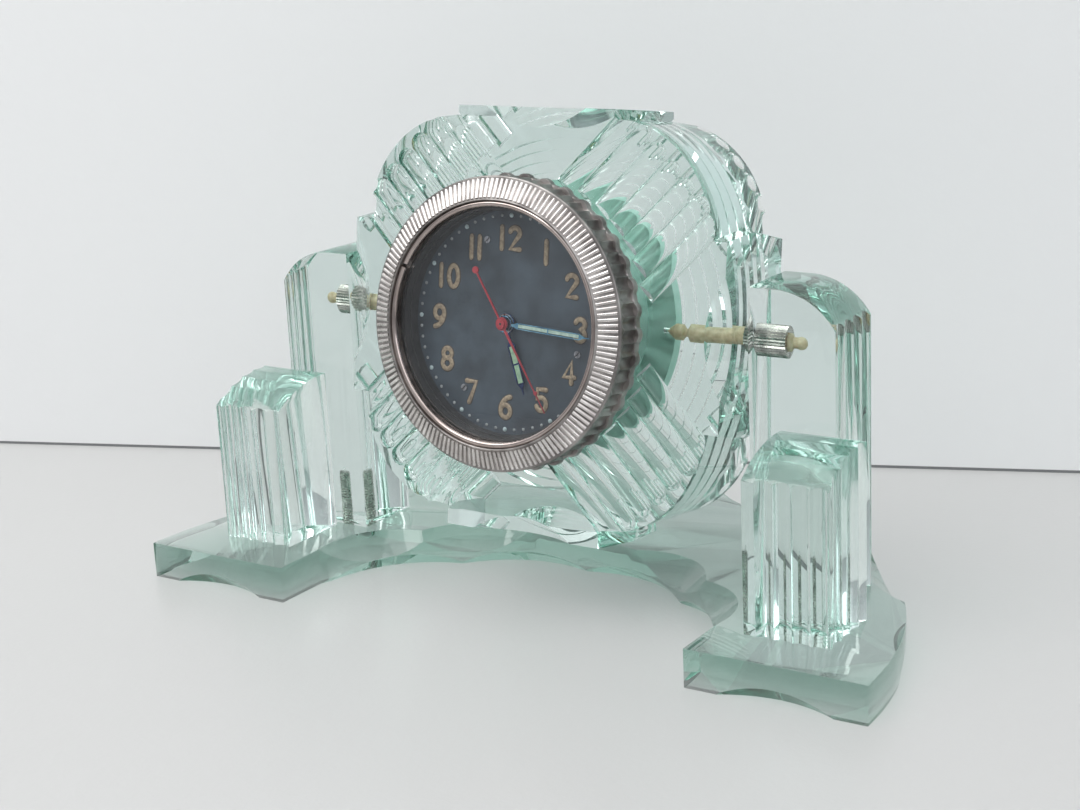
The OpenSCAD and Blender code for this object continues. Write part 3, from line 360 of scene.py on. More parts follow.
def clear_body(name, tint, density, ior, rough, wave_mm, wave_height_mm):
    """A clear solid that tints what passes through it and lets lamps light what it covers."""
    material, tree, output = new_material(name)
    glass = add(tree, "ShaderNodeBsdfPrincipled", {
        "Base Color": (1, 1, 1, 1),
        "Roughness": rough,
        "IOR": ior,
        "Transmission Weight": 1.0,
        "Normal": relief(tree, wave_mm, wave_height_mm, detail=1.0),
    })
    path = add(tree, "ShaderNodeLightPath").outputs
    soft = add(tree, "ShaderNodeMath", {
        0: path["Is Shadow Ray"], 1: path["Is Diffuse Ray"]}, operation="MAXIMUM")
    open_path = add(tree, "ShaderNodeBsdfTransparent")
    both = add(tree, "ShaderNodeMixShader",
               {0: soft.outputs[0], 1: glass.outputs["BSDF"], 2: open_path.outputs["BSDF"]})
    tree.links.new(both.outputs["Shader"], output.inputs["Surface"])
    if density:
        depth = add(tree, "ShaderNodeVolumeAbsorption", {"Color": linear(tint), "Density": density})
        tree.links.new(depth.outputs["Volume"], output.inputs["Volume"])
    return material


def settings():
    """The sizes and colours that the panel shows."""
    return bpy.context.scene.desk_clock


# Materials, each made when it is first asked for and then kept


@cache
def green_acrylic():
    # Cast acrylic, sawn and polished by hand: clear, faintly wavy, greener with depth
    values = settings()
    return clear_body("cast_acrylic_polished", values.acrylic_tint, values.acrylic_depth,
                      ior=1.49, rough=0.01, wave_mm=16, wave_height_mm=0.003)


@cache
def green_acrylic_sheet():
    # Thick cast sheet for the base: an older, deeper green stock than the posts
    values = settings()
    return clear_body("cast_acrylic_sheet_polished", values.sheet_tint, values.sheet_depth,
                      ior=1.49, rough=0.01, wave_mm=18, wave_height_mm=0.004)


@cache
def mineral_crystal():
    # Mineral glass, ground flat and polished: a clean, colourless pane
    return clear_body("mineral_glass_polished", "#FFFFFF", 0.0,
                      ior=1.52, rough=0.0, wave_mm=60, wave_height_mm=0.002)


@cache
def worn_nickel():
    # Nickel plate on knurled brass, worn by handling: bright, a little warm, finely scratched
    return finish("nickel_plate_worn", "#BDB7B4", "#E4E0DD", spot_mm=6, rough=(0.2, 0.34),
                  bump_mm=0.006, grain_mm=0.35, metallic=1.0)


@cache
def grimed_nickel():
    # The same plate, darker and duller, over the bezel's body: painted shade in the cuts between the ribs
    return finish("nickel_plate_painted_shade", "#716D6B", "#ABA7A4", spot_mm=7, rough=(0.32, 0.42),
                  bump_mm=0.005, grain_mm=0.5, metallic=1.0)


@cache
def polished_nickel():
    # Drawn nickel wire, polished: a warm mirror line
    return finish("nickel_wire_polished", "#9C908B", "#B9ADA8", spot_mm=9, rough=(0.12, 0.22),
                  bump_mm=0.001, grain_mm=0.6, metallic=1.0)


@cache
def turned_steel():
    # Steel turned on a lathe: grey, satin, with fine tool marks
    return finish("steel_turned", "#A6A8AA", "#B3B5B7", spot_mm=11, rough=(0.42, 0.5),
                  bump_mm=0.004, grain_mm=0.4, metallic=1.0)


@cache
def anodised_aluminium():
    # Aluminium faced on a lathe and anodised pale green: matt, with soft tool marks
    return finish("aluminium_anodised_green", "#B4DFD1", "#CDEEE3", spot_mm=8, rough=(0.5, 0.65),
                  bump_mm=0.006, grain_mm=0.5, metallic=0.2)


@cache
def knurled_steel():
    # Bright bar, knurled and left unplated: clean grey with slight stains
    return finish("steel_bar_knurled", "#8F8F8A", "#BBBAB4", spot_mm=3, rough=(0.2, 0.34),
                  bump_mm=0.004, grain_mm=0.3, metallic=1.0)


@cache
def satin_brass():
    # Rolled brass sheet, grained by hand: soft yellow satin
    return finish("brass_sheet_grained", "#B8975A", "#D2B377", spot_mm=7, rough=(0.25, 0.38),
                  bump_mm=0.003, grain_mm=0.25, metallic=1.0, stretch=(1, 6, 1))


@cache
def tool_steel():
    # Hardened steel, lapped: cool grey with a soft shine
    return finish("steel_hardened_lapped", "#8C8D91", "#AEB0B4", spot_mm=5, rough=(0.15, 0.28),
                  bump_mm=0.002, grain_mm=0.3, metallic=1.0)


@cache
def blued_steel():
    # Steel blued by heat: deep blue film over a polished metal
    return finish("steel_heat_blued", "#27365E", "#48639C", spot_mm=4, rough=(0.12, 0.22),
                  bump_mm=0.001, grain_mm=0.4, metallic=1.0)


@cache
def bright_blued_steel():
    # Steel blued past purple to a light sky blue, polished edges
    return finish("steel_blued_light", "#4E90B4", "#9CD3E8", spot_mm=3, rough=(0.12, 0.24),
                  bump_mm=0.001, grain_mm=0.4, metallic=1.0)


@cache
def red_enamel():
    # Red lacquer on brass: even, satin, slightly faded
    return finish("lacquer_red", "#8E2733", "#A8343F", spot_mm=2, rough=(0.4, 0.55),
                  bump_mm=0.003, grain_mm=0.2)


@cache
def dial_paint():
    # Matt blue-grey lacquer, sprayed: fine tooth, a few cloudy patches of age
    return finish("lacquer_dial_matt", "#27323B", "#3D4B56", spot_mm=9, rough=(0.46, 0.54),
                  bump_mm=0.0003, grain_mm=0.3)


@cache
def black_paint():
    # Black lacquer inside the case and on the seconds cap: satin, dusty at the steps. On the dial screws it
    # is painted shade in their slots
    return finish("lacquer_black_and_slot_shade", "#17181A", "#292A2B", spot_mm=4, rough=(0.38, 0.55),
                  bump_mm=0.004, grain_mm=0.3)


@cache
def numeral_paint():
    # Aged luminous paint in the numerals: beige, chalky, speckled
    return finish("luminous_paint_aged", settings().numeral_shade, "#AB9C82", spot_mm=0.7, rough=(0.6, 0.8),
                  bump_mm=0.03, grain_mm=0.25)


@cache
def numeral_edge():
    # Dark brown rim round each numeral: painted shade along the raised paint's edges
    return finish("painted_shade_round_numerals", "#2B2622", "#453C34", spot_mm=0.8, rough=(0.5, 0.7),
                  bump_mm=0.01, grain_mm=0.25)


@cache
def green_lume():
    # Fresher luminous fill of the hour hand: pale green and chalky
    return finish("luminous_fill_green", "#7C9F84", "#98B899", spot_mm=0.8, rough=(0.6, 0.75),
                  bump_mm=0.02, grain_mm=0.25)


@cache
def pale_lume():
    # Luminous fill of the minute hand: nearly white, faintly green
    return finish("luminous_fill_pale", "#93AEA2", "#B4CABF", spot_mm=0.8, rough=(0.55, 0.7),
                  bump_mm=0.02, grain_mm=0.25)


@cache
def dot_lume():
    # Minute dots: small beads of bluish white paint
    return finish("luminous_dots", "#9FB4B6", "#C6D6D8", spot_mm=0.6, rough=(0.5, 0.65),
                  bump_mm=0.01, grain_mm=0.2)


@cache
def dull_dots():
    # Smaller dots of the same paint gone grey
    return finish("luminous_dots_grey", "#83898B", "#A9AEAF", spot_mm=0.6, rough=(0.5, 0.65),
                  bump_mm=0.01, grain_mm=0.2)


@cache
def bone():
    # Turned bone rod: ivory, satin, streaked along its length
    return finish("bone_turned", "#A99E7E", "#C8BE9E", spot_mm=1.5, rough=(0.35, 0.5),
                  bump_mm=0.01, grain_mm=0.3, stretch=(0.3, 1, 1), Subsurface_Weight=0.1)


# Repeated shapes


def ring_of(name, shape, count, coat, skip=0, **sizes):
    """Repeats a shape round the clock's axis with geometry nodes and returns a plain mesh.

    shape(tree, sizes) adds the nodes of one item, drawn at three o'clock in millimetres, and
    returns its geometry. skip leaves out every item whose number it divides.
    """
    tree = bpy.data.node_groups.new(name + "_ring", "GeometryNodeTree")
    tree.interface.new_socket("Geometry", in_out="OUTPUT", socket_type="NodeSocketGeometry")
    values = {"Count": count, "Skip": skip}
    values.update({key.replace("_", " ").capitalize(): value for key, value in sizes.items()})
    for label, value in values.items():
        kind = "NodeSocketInt" if isinstance(value, int) else "NodeSocketFloat"
        tree.interface.new_socket(label, in_out="INPUT", socket_type=kind)
    inputs = tree.nodes.new("NodeGroupInput").outputs
    item = shape(tree, inputs)
    points = add(tree, "GeometryNodeMeshLine", {"Count": inputs["Count"], "Offset": (0, 0, 0)})
    index = add(tree, "GeometryNodeInputIndex").outputs["Index"]
    step = add(tree, "ShaderNodeMath", {0: 2 * math.pi, 1: inputs["Count"]}, operation="DIVIDE")
    turn = add(tree, "ShaderNodeMath", {0: index, 1: step.outputs[0]}, operation="MULTIPLY")
    rotation = add(tree, "ShaderNodeCombineXYZ", {"Z": turn.outputs[0]})
    links = {"Points": points.outputs["Mesh"], "Instance": item, "Rotation": rotation.outputs["Vector"]}
    if skip:
        rest = add(tree, "ShaderNodeMath", {0: index, 1: inputs["Skip"]}, operation="MODULO")
        kept = add(tree, "ShaderNodeMath", {0: rest.outputs[0], 1: 0.5}, operation="GREATER_THAN")
        links["Selection"] = kept.outputs[0]
    copies = add(tree, "GeometryNodeInstanceOnPoints", links)
    real = add(tree, "GeometryNodeRealizeInstances", {"Geometry": copies.outputs["Instances"]})
    coated = add(tree, "GeometryNodeSetMaterial", {"Geometry": real.outputs["Geometry"], "Material": coat})
    add(tree, "NodeGroupOutput", {"Geometry": coated.outputs["Geometry"]})

    holder = new_piece(bpy.data.meshes.new(name + "_holder"))
    modifier = holder.modifiers.new("Ring", "NODES")
    modifier.node_group = tree
    for socket in tree.interface.items_tree:
        if socket.in_out == "INPUT":
            modifier[socket.identifier] = values[socket.name]
    depsgraph = bpy.context.evaluated_depsgraph_get()
    mesh = bpy.data.meshes.new_from_object(holder.evaluated_get(depsgraph), depsgraph=depsgraph)
    bpy.data.objects.remove(holder)
    return on_dial(mesh, name)


# A bezel bar has this many points along it and sides round it. Its width goes with the root of
# BAR_FULL - along ** BAR_NOSE, with along from -1 to 1, so only its ends round off.
BAR_POINTS, BAR_SIDES = 7, 8
BAR_FULL, BAR_NOSE = 1.06, 7.0
# A dot's segments, rings and height as a share of its width
DOT_SEGMENTS, DOT_RINGS, DOT_FLATNESS = 12, 6, 0.5


def bar_shape(tree, sizes):
    """One rounded bar that lies on the bezel's slope and narrows towards the window."""
    start = add(tree, "ShaderNodeCombineXYZ", {"X": sizes["Inner radius"], "Z": sizes["Inner height"]})
    end = add(tree, "ShaderNodeCombineXYZ", {"X": sizes["Outer radius"], "Z": sizes["Outer height"]})
    line = add(tree, "GeometryNodeCurvePrimitiveLine", {"Start": start.outputs[0], "End": end.outputs[0]})
    spine = add(tree, "GeometryNodeResampleCurve", {"Curve": line.outputs["Curve"], "Count": BAR_POINTS})
    along = add(tree, "GeometryNodeSplineParameter").outputs["Factor"]
    width = add(tree, "ShaderNodeMapRange", {
        "Value": along, "To Min": sizes["Inner width"], "To Max": sizes["Outer width"]})
    from_middle = add(tree, "ShaderNodeMath", {0: along, 1: 2.0, 2: -1.0}, operation="MULTIPLY_ADD")
    size = add(tree, "ShaderNodeMath", {0: from_middle.outputs[0]}, operation="ABSOLUTE")
    nose = add(tree, "ShaderNodeMath", {0: size.outputs[0], 1: BAR_NOSE}, operation="POWER")
    left = add(tree, "ShaderNodeMath", {0: BAR_FULL, 1: nose.outputs[0]}, operation="SUBTRACT")
    round_end = add(tree, "ShaderNodeMath", {0: left.outputs[0]}, operation="SQRT")
    half = add(tree, "ShaderNodeMath", {0: width.outputs[0], 1: round_end.outputs[0]}, operation="MULTIPLY")
    sized = add(tree, "GeometryNodeSetCurveRadius", {
        "Curve": spine.outputs["Curve"], "Radius": half.outputs[0]})
    circle = add(tree, "GeometryNodeCurvePrimitiveCircle", {"Resolution": BAR_SIDES, "Radius": 0.5})
    bar = add(tree, "GeometryNodeCurveToMesh", {
        "Curve": sized.outputs["Curve"], "Profile Curve": circle.outputs["Curve"], "Fill Caps": True})
    return bar.outputs["Mesh"]


def dot_shape(tree, sizes):
    """One low domed dot at its radius."""
    ball = add(tree, "GeometryNodeMeshUVSphere", {
        "Segments": DOT_SEGMENTS, "Rings": DOT_RINGS, "Radius": sizes["Dot radius"]})
    place = add(tree, "ShaderNodeCombineXYZ", {"X": sizes["At radius"], "Z": sizes["At height"]})
    flat = add(tree, "GeometryNodeTransform", {
        "Geometry": ball.outputs["Mesh"], "Translation": place.outputs[0], "Scale": (1, 1, DOT_FLATNESS)})
    return flat.outputs["Geometry"]


# Numerals, each in a box one high with its foot at y = 0

# Width of a wide digit, between the middles of its outer strokes
DIGIT_WIDTH = 0.54
# The round end of a stroke: how far out each of its points lies and its width, in half strokes
STROKE_END = ((0.7, 0.71), (0.97, 0.24))


def arc(x, y, rx, ry, start, end, steps=14):
    """Points along an ellipse's arc, in degrees from the right."""
    turns = [math.radians(start + (end - start) * i / steps) for i in range(steps + 1)]
    return [(x + rx * math.cos(t), y + ry * math.sin(t)) for t in turns]


def numeral_strokes():
    """The width of each digit and its stroke lines."""
    w = DIGIT_WIDTH
    m = w / 2
    return {
        "0": (w, [arc(m, 0.5, m, 0.5, 90, 450, 28)]),
        "1": (0.0, [[(0, 0), (0, 1)]]),
        "2": (w, [arc(m, 0.76, m, 0.24, 165, -35) + [(0.02, 0.0), (w, 0.0)]]),
        "3": (w, [arc(m, 0.77, m * 0.94, 0.23, 160, -90) + arc(m, 0.27, m, 0.27, 90, -160)]),
        "4": (w, [[(w * 0.78, 0), (w * 0.78, 1), (0, 0.27), (w * 1.05, 0.27)]]),
        "5": (w, [[(w * 0.94, 1), (w * 0.12, 1), (w * 0.06, 0.55)] + arc(m, 0.31, m, 0.31, 125, -155)]),
        "6": (w, [arc(w * 1.15, 0.33, w * 1.15, 0.67, 100, 180) + arc(m, 0.3, m, 0.3, 180, 540, 24)]),
        "7": (w, [[(0, 1), (w, 1), (w * 0.3, 0)]]),
        "8": (w, [arc(m, 0.76, m * 0.88, 0.24, -90, 270, 24), arc(m, 0.27, m, 0.27, 90, 450, 24)]),
        "9": (w, [arc(-w * 0.15, 0.67, w * 1.15, 0.67, -80, 0) + arc(m, 0.7, m, 0.3, 0, 360, 24)]),
    }


def bead_mesh(name, strokes, width, height, level):
    """Raised strokes with round ends: flattened beads half sunk into the face at level."""
    curve = bpy.data.curves.new(name + "_holder", "CURVE")
    curve.dimensions = "3D"
    curve.bevel_depth = width / 2
    curve.bevel_resolution = 2
    curve.use_fill_caps = True
    for stroke in strokes:
        points = [Vector((x, y, 0)) for x, y in stroke]
        first = (points[0] - points[1]).normalized() * width / 2
        last = (points[-1] - points[-2]).normalized() * width / 2
        path = [(points[0] + first * out, size) for out, size in reversed(STROKE_END)]
        path += [(p, 1.0) for p in points]
        path += [(points[-1] + last * out, size) for out, size in STROKE_END]
        spline = curve.splines.new("POLY")
        spline.points.add(len(path) - 1)
        for point, (place, radius) in zip(spline.points, path):
            point.co = (*place, 1)
            point.radius = radius
    holder = new_piece(curve)
    mesh = bpy.data.meshes.new_from_object(holder)
    bpy.data.objects.remove(holder)
    mesh.transform(Matrix.Diagonal((1, 1, 2 * height / width, 1)))
    mesh.transform(Matrix.Translation((0, 0, level)))
    return on_dial(mesh, name)


# Sizes and colours that a user would change


class DeskClockSettings(bpy.types.PropertyGroup):
    """Sizes and colours of the desk clock's finish."""

    acrylic_tint: bpy.props.StringProperty(
        name="Acrylic tint", description="Colour that the acrylic's depth leaves, as sRGB hex",
        default="#95D1C2")
    acrylic_depth: bpy.props.FloatProperty(
        name="Acrylic depth", description="How fast the acrylic takes on its tint, per metre",
        default=12.0, min=0.0)
    sheet_tint: bpy.props.StringProperty(
        name="Base tint", description="Colour that the base sheet's depth leaves, as sRGB hex",
        default="#6FCAB4")
    sheet_depth: bpy.props.FloatProperty(
        name="Base depth", description="How fast the base sheet takes on its tint, per metre",
        default=22.0, min=0.0)
    numeral_shade: bpy.props.StringProperty(
        name="Numeral colour", description="Darker colour of the aged paint, as sRGB hex",
        default="#7F7260")
    numeral_height: bpy.props.FloatProperty(
        name="Numeral height", description="Height of a numeral over its strokes", default=0.0068,
        subtype="DISTANCE", unit="LENGTH")
    numeral_ring: bpy.props.FloatProperty(
        name="Numeral ring", description="Distance of the numerals' middles from the dial's middle",
        default=0.0215, subtype="DISTANCE", unit="LENGTH")
    stroke_width: bpy.props.FloatProperty(
        name="Numeral stroke", description="Width of a numeral's stroke", default=0.0014,
        subtype="DISTANCE", unit="LENGTH")
    dot_ring: bpy.props.FloatProperty(
        name="Minute ring", description="Distance of the minute dots from the dial's middle",
        default=0.0273, subtype="DISTANCE", unit="LENGTH")
    rib_count: bpy.props.IntProperty(
        name="Bezel ribs", description="Number of fine ribs on the bezel's slope", default=156, min=24)
    flute_count: bpy.props.IntProperty(
        name="Grip flutes", description="Number of flutes round the bezel", default=72, min=12)
    lobe_count: bpy.props.IntProperty(
        name="Rear lobes", description="Number of shallow lobes on the bezel's rear band",
        default=38, min=8)
    wall_colour: bpy.props.StringProperty(
        name="Wall", description="Wall colour as sRGB hex", default="#F1F2F2")
    table_colour: bpy.props.StringProperty(
        name="Table", description="Table colour as sRGB hex", default="#C4C4C3")
    light_level: bpy.props.FloatProperty(
        name="Light level", description="Multiplies every lamp and the world", default=1.0, min=0.0)


# Camera, stage and pieces


class DESKCLOCK_OT_camera(bpy.types.Operator):
    """Stands the camera where the photograph was taken from"""

    bl_idname = "desk_clock.camera"
    bl_label = "Camera"

    # Fitted to the photograph: degrees, the lens in millimetres and the place in metres
    azimuth, elevation, roll = 33.81, 15.39, -2.79
    lens = 64.0
    place = (0.2703, -0.4208, 0.1868)

    @classmethod
    def axes(cls):
        """The camera's right, up and back directions."""
        a, e, r = (math.radians(v) for v in (cls.azimuth, cls.elevation, cls.roll))
        back = Vector((math.sin(a) * math.cos(e), -math.cos(a) * math.cos(e), math.sin(e)))
        right = Vector((math.cos(a), math.sin(a), 0))
        up = back.cross(right)
        return right * math.cos(r) + up * math.sin(r), up * math.cos(r) - right * math.sin(r), back

    @classmethod
    def floor_point(cls, px, py):
        """Where the ray through one of the photograph's pixels meets the floor."""
        right, up, back = cls.axes()
        scale = SENSOR / PHOTO_WIDTH / cls.lens
        ray = right * (px - PHOTO_WIDTH / 2) * scale - up * (py - PHOTO_HEIGHT / 2) * scale - back
        start = Vector(cls.place)
        return start - ray * (start.z / ray.z)

    def execute(self, context):
        right, up, back = self.axes()
        data = bpy.data.cameras.new("Camera")
        data.sensor_width = SENSOR
        data.lens = self.lens
        camera = bpy.data.objects.new("Camera", data)
        turn = Matrix((right, up, back)).transposed().to_4x4()
        camera.matrix_world = Matrix.Translation(self.place) @ turn
        context.scene.collection.objects.link(camera)
        context.scene.camera = camera
        return {"FINISHED"}


class DESKCLOCK_OT_stage(bpy.types.Operator):
    """Sets a pale table, a pale wall behind it and soft studio light"""

    bl_idname = "desk_clock.stage"
    bl_label = "Stage"

    # Two pixels of the photograph on the line where the table meets the wall
    line_left = (0, 443)
    line_right = (1080, 473)
    # Half width of the stage, height of the wall and how far its foot goes under the table
    reach = 1.6
    wall_height, wall_sunk = 1.2, 0.01
    # A grey strip at the wall's foot is painted shadow in the joint between table and wall: its height, and
    # its gap to the wall
    strip_height, strip_gap, strip_colour = 0.0009, 0.0003, "#7B7D7E"
    # Depth of the grain in the stage's paint, in millimetres
    paint_depth = 0.02
    # Each lamp's name, place, width and height, power and colour, and the place they all aim at
    lamps = (
        ("Key lamp", (-0.65, -0.75, 1.15), (1.1, 0.9), 11.0, "#FFFEFC"),
        ("Top lamp", (0.1, -0.25, 1.2), (1.3, 0.7), 4.2, "#FFFFFF"),
        ("Fill lamp", (0.95, -0.7, 0.8), (0.9, 0.9), 4.0, "#F8FAFF"),
    )
    aim = (0, 0, 0.05)
    # The world's strength as a light, and where it is seen by itself or in the acrylic and metal
    world_colour = "#F2F5F9"
    light_strength, seen_strength = 0.5, 1.0
    # Seen in the acrylic and metal, it rises from this share at the horizon to full at this height
    horizon, full_height = 0.45, 0.5

    def surface(self, name, points, colour, grain_mm, rough, one_sided=False):
        """A flat sheet of the stage with a plain paint, clear from behind if it is one-sided."""
        mesh = bpy.data.meshes.new(name)
        mesh.from_pydata([tuple(p) for p in points], [], [(0, 1, 2, 3)])
        piece = new_piece(mesh)
        paint, tree, output = new_material(name + "_paint")
        grain = relief(tree, grain_mm, self.paint_depth, detail=3.0)
        solid = add(tree, "ShaderNodeBsdfPrincipled", {
            "Base Color": linear(colour), "Roughness": rough, "Normal": grain})
        shader = solid.outputs["BSDF"]
        if one_sided:
            behind = add(tree, "ShaderNodeNewGeometry").outputs["Backfacing"]
            clear = add(tree, "ShaderNodeBsdfTransparent").outputs["BSDF"]
            shader = add(tree, "ShaderNodeMixShader", {0: behind, 1: shader, 2: clear}).outputs["Shader"]
        tree.links.new(shader, output.inputs["Surface"])
        mesh.materials.append(paint)
        return piece

    def upright(self, name, ends, height, colour, grain_mm, rough):
        """A one-sided sheet that stands on the line between two ends, its foot under the table."""
        foot, top = Vector((0, 0, -self.wall_sunk)), Vector((0, 0, height))
        points = ends[0] + foot, ends[1] + foot, ends[1] + top, ends[0] + top
        return self.surface(name, points, colour, grain_mm, rough, one_sided=True)

    def lamp(self, name, place, size, power, colour):
        """A large soft lamp at a place, turned to the aim."""
        data = bpy.data.lights.new(name, "AREA")
        data.shape = "RECTANGLE"
        data.size, data.size_y = size
        data.energy = power * settings().light_level
        data.color = linear(colour)[:3]
        lamp = bpy.data.objects.new(name, data)
        lamp.location = place
        lamp.rotation_euler = (Vector(self.aim) - Vector(place)).to_track_quat("-Z", "Y").to_euler()
        bpy.context.scene.collection.objects.link(lamp)

    def studio(self, level):
        """A plain pale world that is brighter where it is seen than as a light."""
        world = bpy.data.worlds.new("Studio")
        world.use_nodes = True
        tree = world.node_tree
        sky = tree.nodes["Background"]
        sky.inputs["Color"].default_value = linear(self.world_colour)
        path = add(tree, "ShaderNodeLightPath").outputs
        bent = add(tree, "ShaderNodeMath", {
            0: path["Is Glossy Ray"], 1: path["Is Transmission Ray"]}, operation="MAXIMUM")
        seen = add(tree, "ShaderNodeMath", {
            0: bent.outputs[0], 1: path["Is Camera Ray"]}, operation="MAXIMUM")
        strength = add(tree, "ShaderNodeMapRange", {
            "Value": seen.outputs[0], "To Min": self.light_strength * level,
            "To Max": self.seen_strength * level})
        way = add(tree, "ShaderNodeSeparateXYZ", {0: add(tree, "ShaderNodeTexCoord").outputs["Generated"]})
        rise = add(tree, "ShaderNodeMapRange", {
            "Value": way.outputs["Z"], "From Max": self.full_height, "To Min": self.horizon, "To Max": 1.0},
            interpolation_type="SMOOTHSTEP")
        plain = add(tree, "ShaderNodeMath", {
            0: rise.outputs["Result"], 1: path["Is Camera Ray"]}, operation="MAXIMUM")
        total = add(tree, "ShaderNodeMath", {
            0: strength.outputs["Result"], 1: plain.outputs[0]}, operation="MULTIPLY")
        tree.links.new(total.outputs[0], sky.inputs["Strength"])
        return world

    def execute(self, context):
        values = settings()
        left = DESKCLOCK_OT_camera.floor_point(*self.line_left)
        right = DESKCLOCK_OT_camera.floor_point(*self.line_right)
        along = (right - left).normalized()
        front = Vector((along.y, -along.x, 0))
        middle = (left + right) / 2
        ends = middle - along * self.reach, middle + along * self.reach
        deep = front * 2 * self.reach
        floor = ends[0] + deep, ends[1] + deep, ends[1] - deep, ends[0] - deep
        self.surface("table", floor, values.table_colour, grain_mm=1.5, rough=0.35)
        self.upright("wall", ends, self.wall_height, values.wall_colour, grain_mm=3.0, rough=0.6)
        # The strip just before the wall's foot is painted shadow of the joint
        ahead = [end + front * self.strip_gap for end in ends]
        self.upright("wall_foot_shadow", ahead, self.strip_height, self.strip_colour, grain_mm=1.0, rough=0.9)
        for lamp in self.lamps:
            self.lamp(*lamp)
        context.scene.world = self.studio(values.light_level)
        context.scene.view_settings.view_transform = "Standard"
        # Light turns many times inside the acrylic before it leaves, and each turn counts as a gloss
        light = context.scene.cycles
        light.max_bounces, light.transmission_bounces = 28, 24
        light.glossy_bounces, light.transparent_max_bounces = 20, 16
        return {"FINISHED"}


class DESKCLOCK_OT_stand(bpy.types.Operator):
    """Polishes the stand's acrylic pieces and the clock's block"""

    bl_idname = "desk_clock.stand"
    bl_label = "Acrylic"

    # Air left under the glued feet, so that no two clear faces lie in one place
    joint = 0.02
    # Radii to which the sharp edges of the posts and towers, and of the base, were eased
    edge, base_edge = 0.5, 0.8
    # Edges under this angle are shaded smooth on the block with its many gouges
    block_sharp = 28.0
    # Radii about the rods within which their bores lie, and the radii left
    sleeve_reach, sleeve_bore = 4.4, 2.2
    pin_reach, pin_bore = 2.7, 0.8
    screw_reach, screw_bore = 2.1, 0.5

    def execute(self, context):
        acrylic = green_acrylic()
        softened(polished("base_plate", green_acrylic_sheet()), self.base_edge)
        low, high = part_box("tower_screws")
        head_r = (high.y - low.y) / 2
        for side, name in ((-1, "left"), (1, "right")):
            softened(polished(name + "_post", acrylic, lift=self.joint), self.edge)
            tower = softened(polished(name + "_tower", acrylic, lift=self.joint), self.edge)
            # The sleeve's bore opens on the tower's inner face, and the pin's lies beyond it
            mouth = min(abs(v.co.x) for v in tower.data.vertices) + MM
            bedded(tower, PIVOT, ACROSS, self.sleeve_reach,
                   lambda v: self.sleeve_bore if abs(v.x) < mouth else self.pin_bore)
            screw = Vector((side * (high.x - head_r), (low.y + high.y) / 2, 0))
            bedded(tower, screw, Vector((0, 0, 1)), self.screw_reach, lambda v: self.screw_bore)
        block = polished("clock_block", acrylic, self.block_sharp)
        bedded(block, PIVOT, ACROSS, self.pin_reach, lambda v: self.pin_bore)
        return {"FINISHED"}


class DESKCLOCK_OT_pivots(bpy.types.Operator):
    """Makes the threaded tower screws, the knurled sleeves and the bone pins"""

    bl_idname = "desk_clock.pivots"
    bl_label = "Pivots and screws"

    # Radius over the thread, its pitch and depth, and how many rows and corners draw one turn
    shank_r, pitch, thread_depth = 1.7, 0.8, 0.3
    turn_rows, turn_corners = 6, 24
    # Unthreaded stretch at each end
    relief = 0.3
    # Height of the head's upper face over the table, and corners round the head
    shoulder, head_corners = 4.0, 48
    slot_width, slot_depth = 0.8, 0.8
    # Edges under this angle are shaded smooth on the thread
    thread_sharp = 35.0

    def thread_radius(self, z, high, degrees):
        """Radius of the shank at a height and a direction."""
        if z - self.shoulder < self.relief or high - z < self.relief:
            return self.shank_r - self.thread_depth
        phase = ((z - self.shoulder) / self.pitch - degrees / 360) % 1
        return self.shank_r - self.thread_depth * abs(2 * phase - 1)

    def screw(self, x, y, low, high, head_r):
        """The meshes of a slotted screw that stands on its head, with a cut thread."""
        def place(px, py, pz):
            return Vector((x + px * MM, y + py * MM, pz * MM))

        rows, count = int((high - self.shoulder) / self.pitch * self.turn_rows), self.turn_corners
        points, faces = [], []
        for i in range(rows + 1):
            z = self.shoulder + (high - self.shoulder) * i / rows
            for k in range(count):
                degrees = k * 360 / count
                px, py = polar(self.thread_radius(z, high, degrees), degrees)
                points.append(place(px, py, z))
        for i in range(rows):
            for k in range(count):
                n = (k + 1) % count
                faces.append((i * count + k, i * count + n, (i + 1) * count + n, (i + 1) * count + k))
        faces.append(tuple(range(count)))
        faces.append(tuple(rows * count + k for k in range(count)))
        shank = mesh_from("screw_shank", points, faces)

        open_angle = math.degrees(math.asin(self.slot_width / 2 / head_r))
        side = arc(0, 0, head_r, head_r, open_angle, 180 - open_angle, self.head_corners // 2)
        other = [(px, -py) for px, py in side]
        disc = arc(0, 0, head_r, head_r, 0, 360 - 360 / self.head_corners, self.head_corners - 1)
        floor = low + self.slot_depth
        lips = slab_mesh("screw_lips", [side, other], low, floor, place)
        head = slab_mesh("screw_head", [disc], floor, self.shoulder, place)
        return [shank, lips, head]

    def execute(self, context):
        low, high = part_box("tower_screws")
        head_r = (high.y - low.y) / 2 / MM
        meshes = []
        for side in (-1, 1):
            x = side * (high.x - head_r * MM)
            meshes += self.screw(x, (low.y + high.y) / 2, low.z / MM, high.z / MM, head_r)
        screws = joined("tower_screws_threaded", *meshes)
        dress(screws, knurled_steel(), "stand", self.thread_sharp, ("tower_screws",))
        for side in ("left", "right"):
            polished(side + "_sleeve", knurled_steel(), FINE_SHARP)
            polished(side + "_pin", bone(), FINE_SHARP)
        return {"FINISHED"}


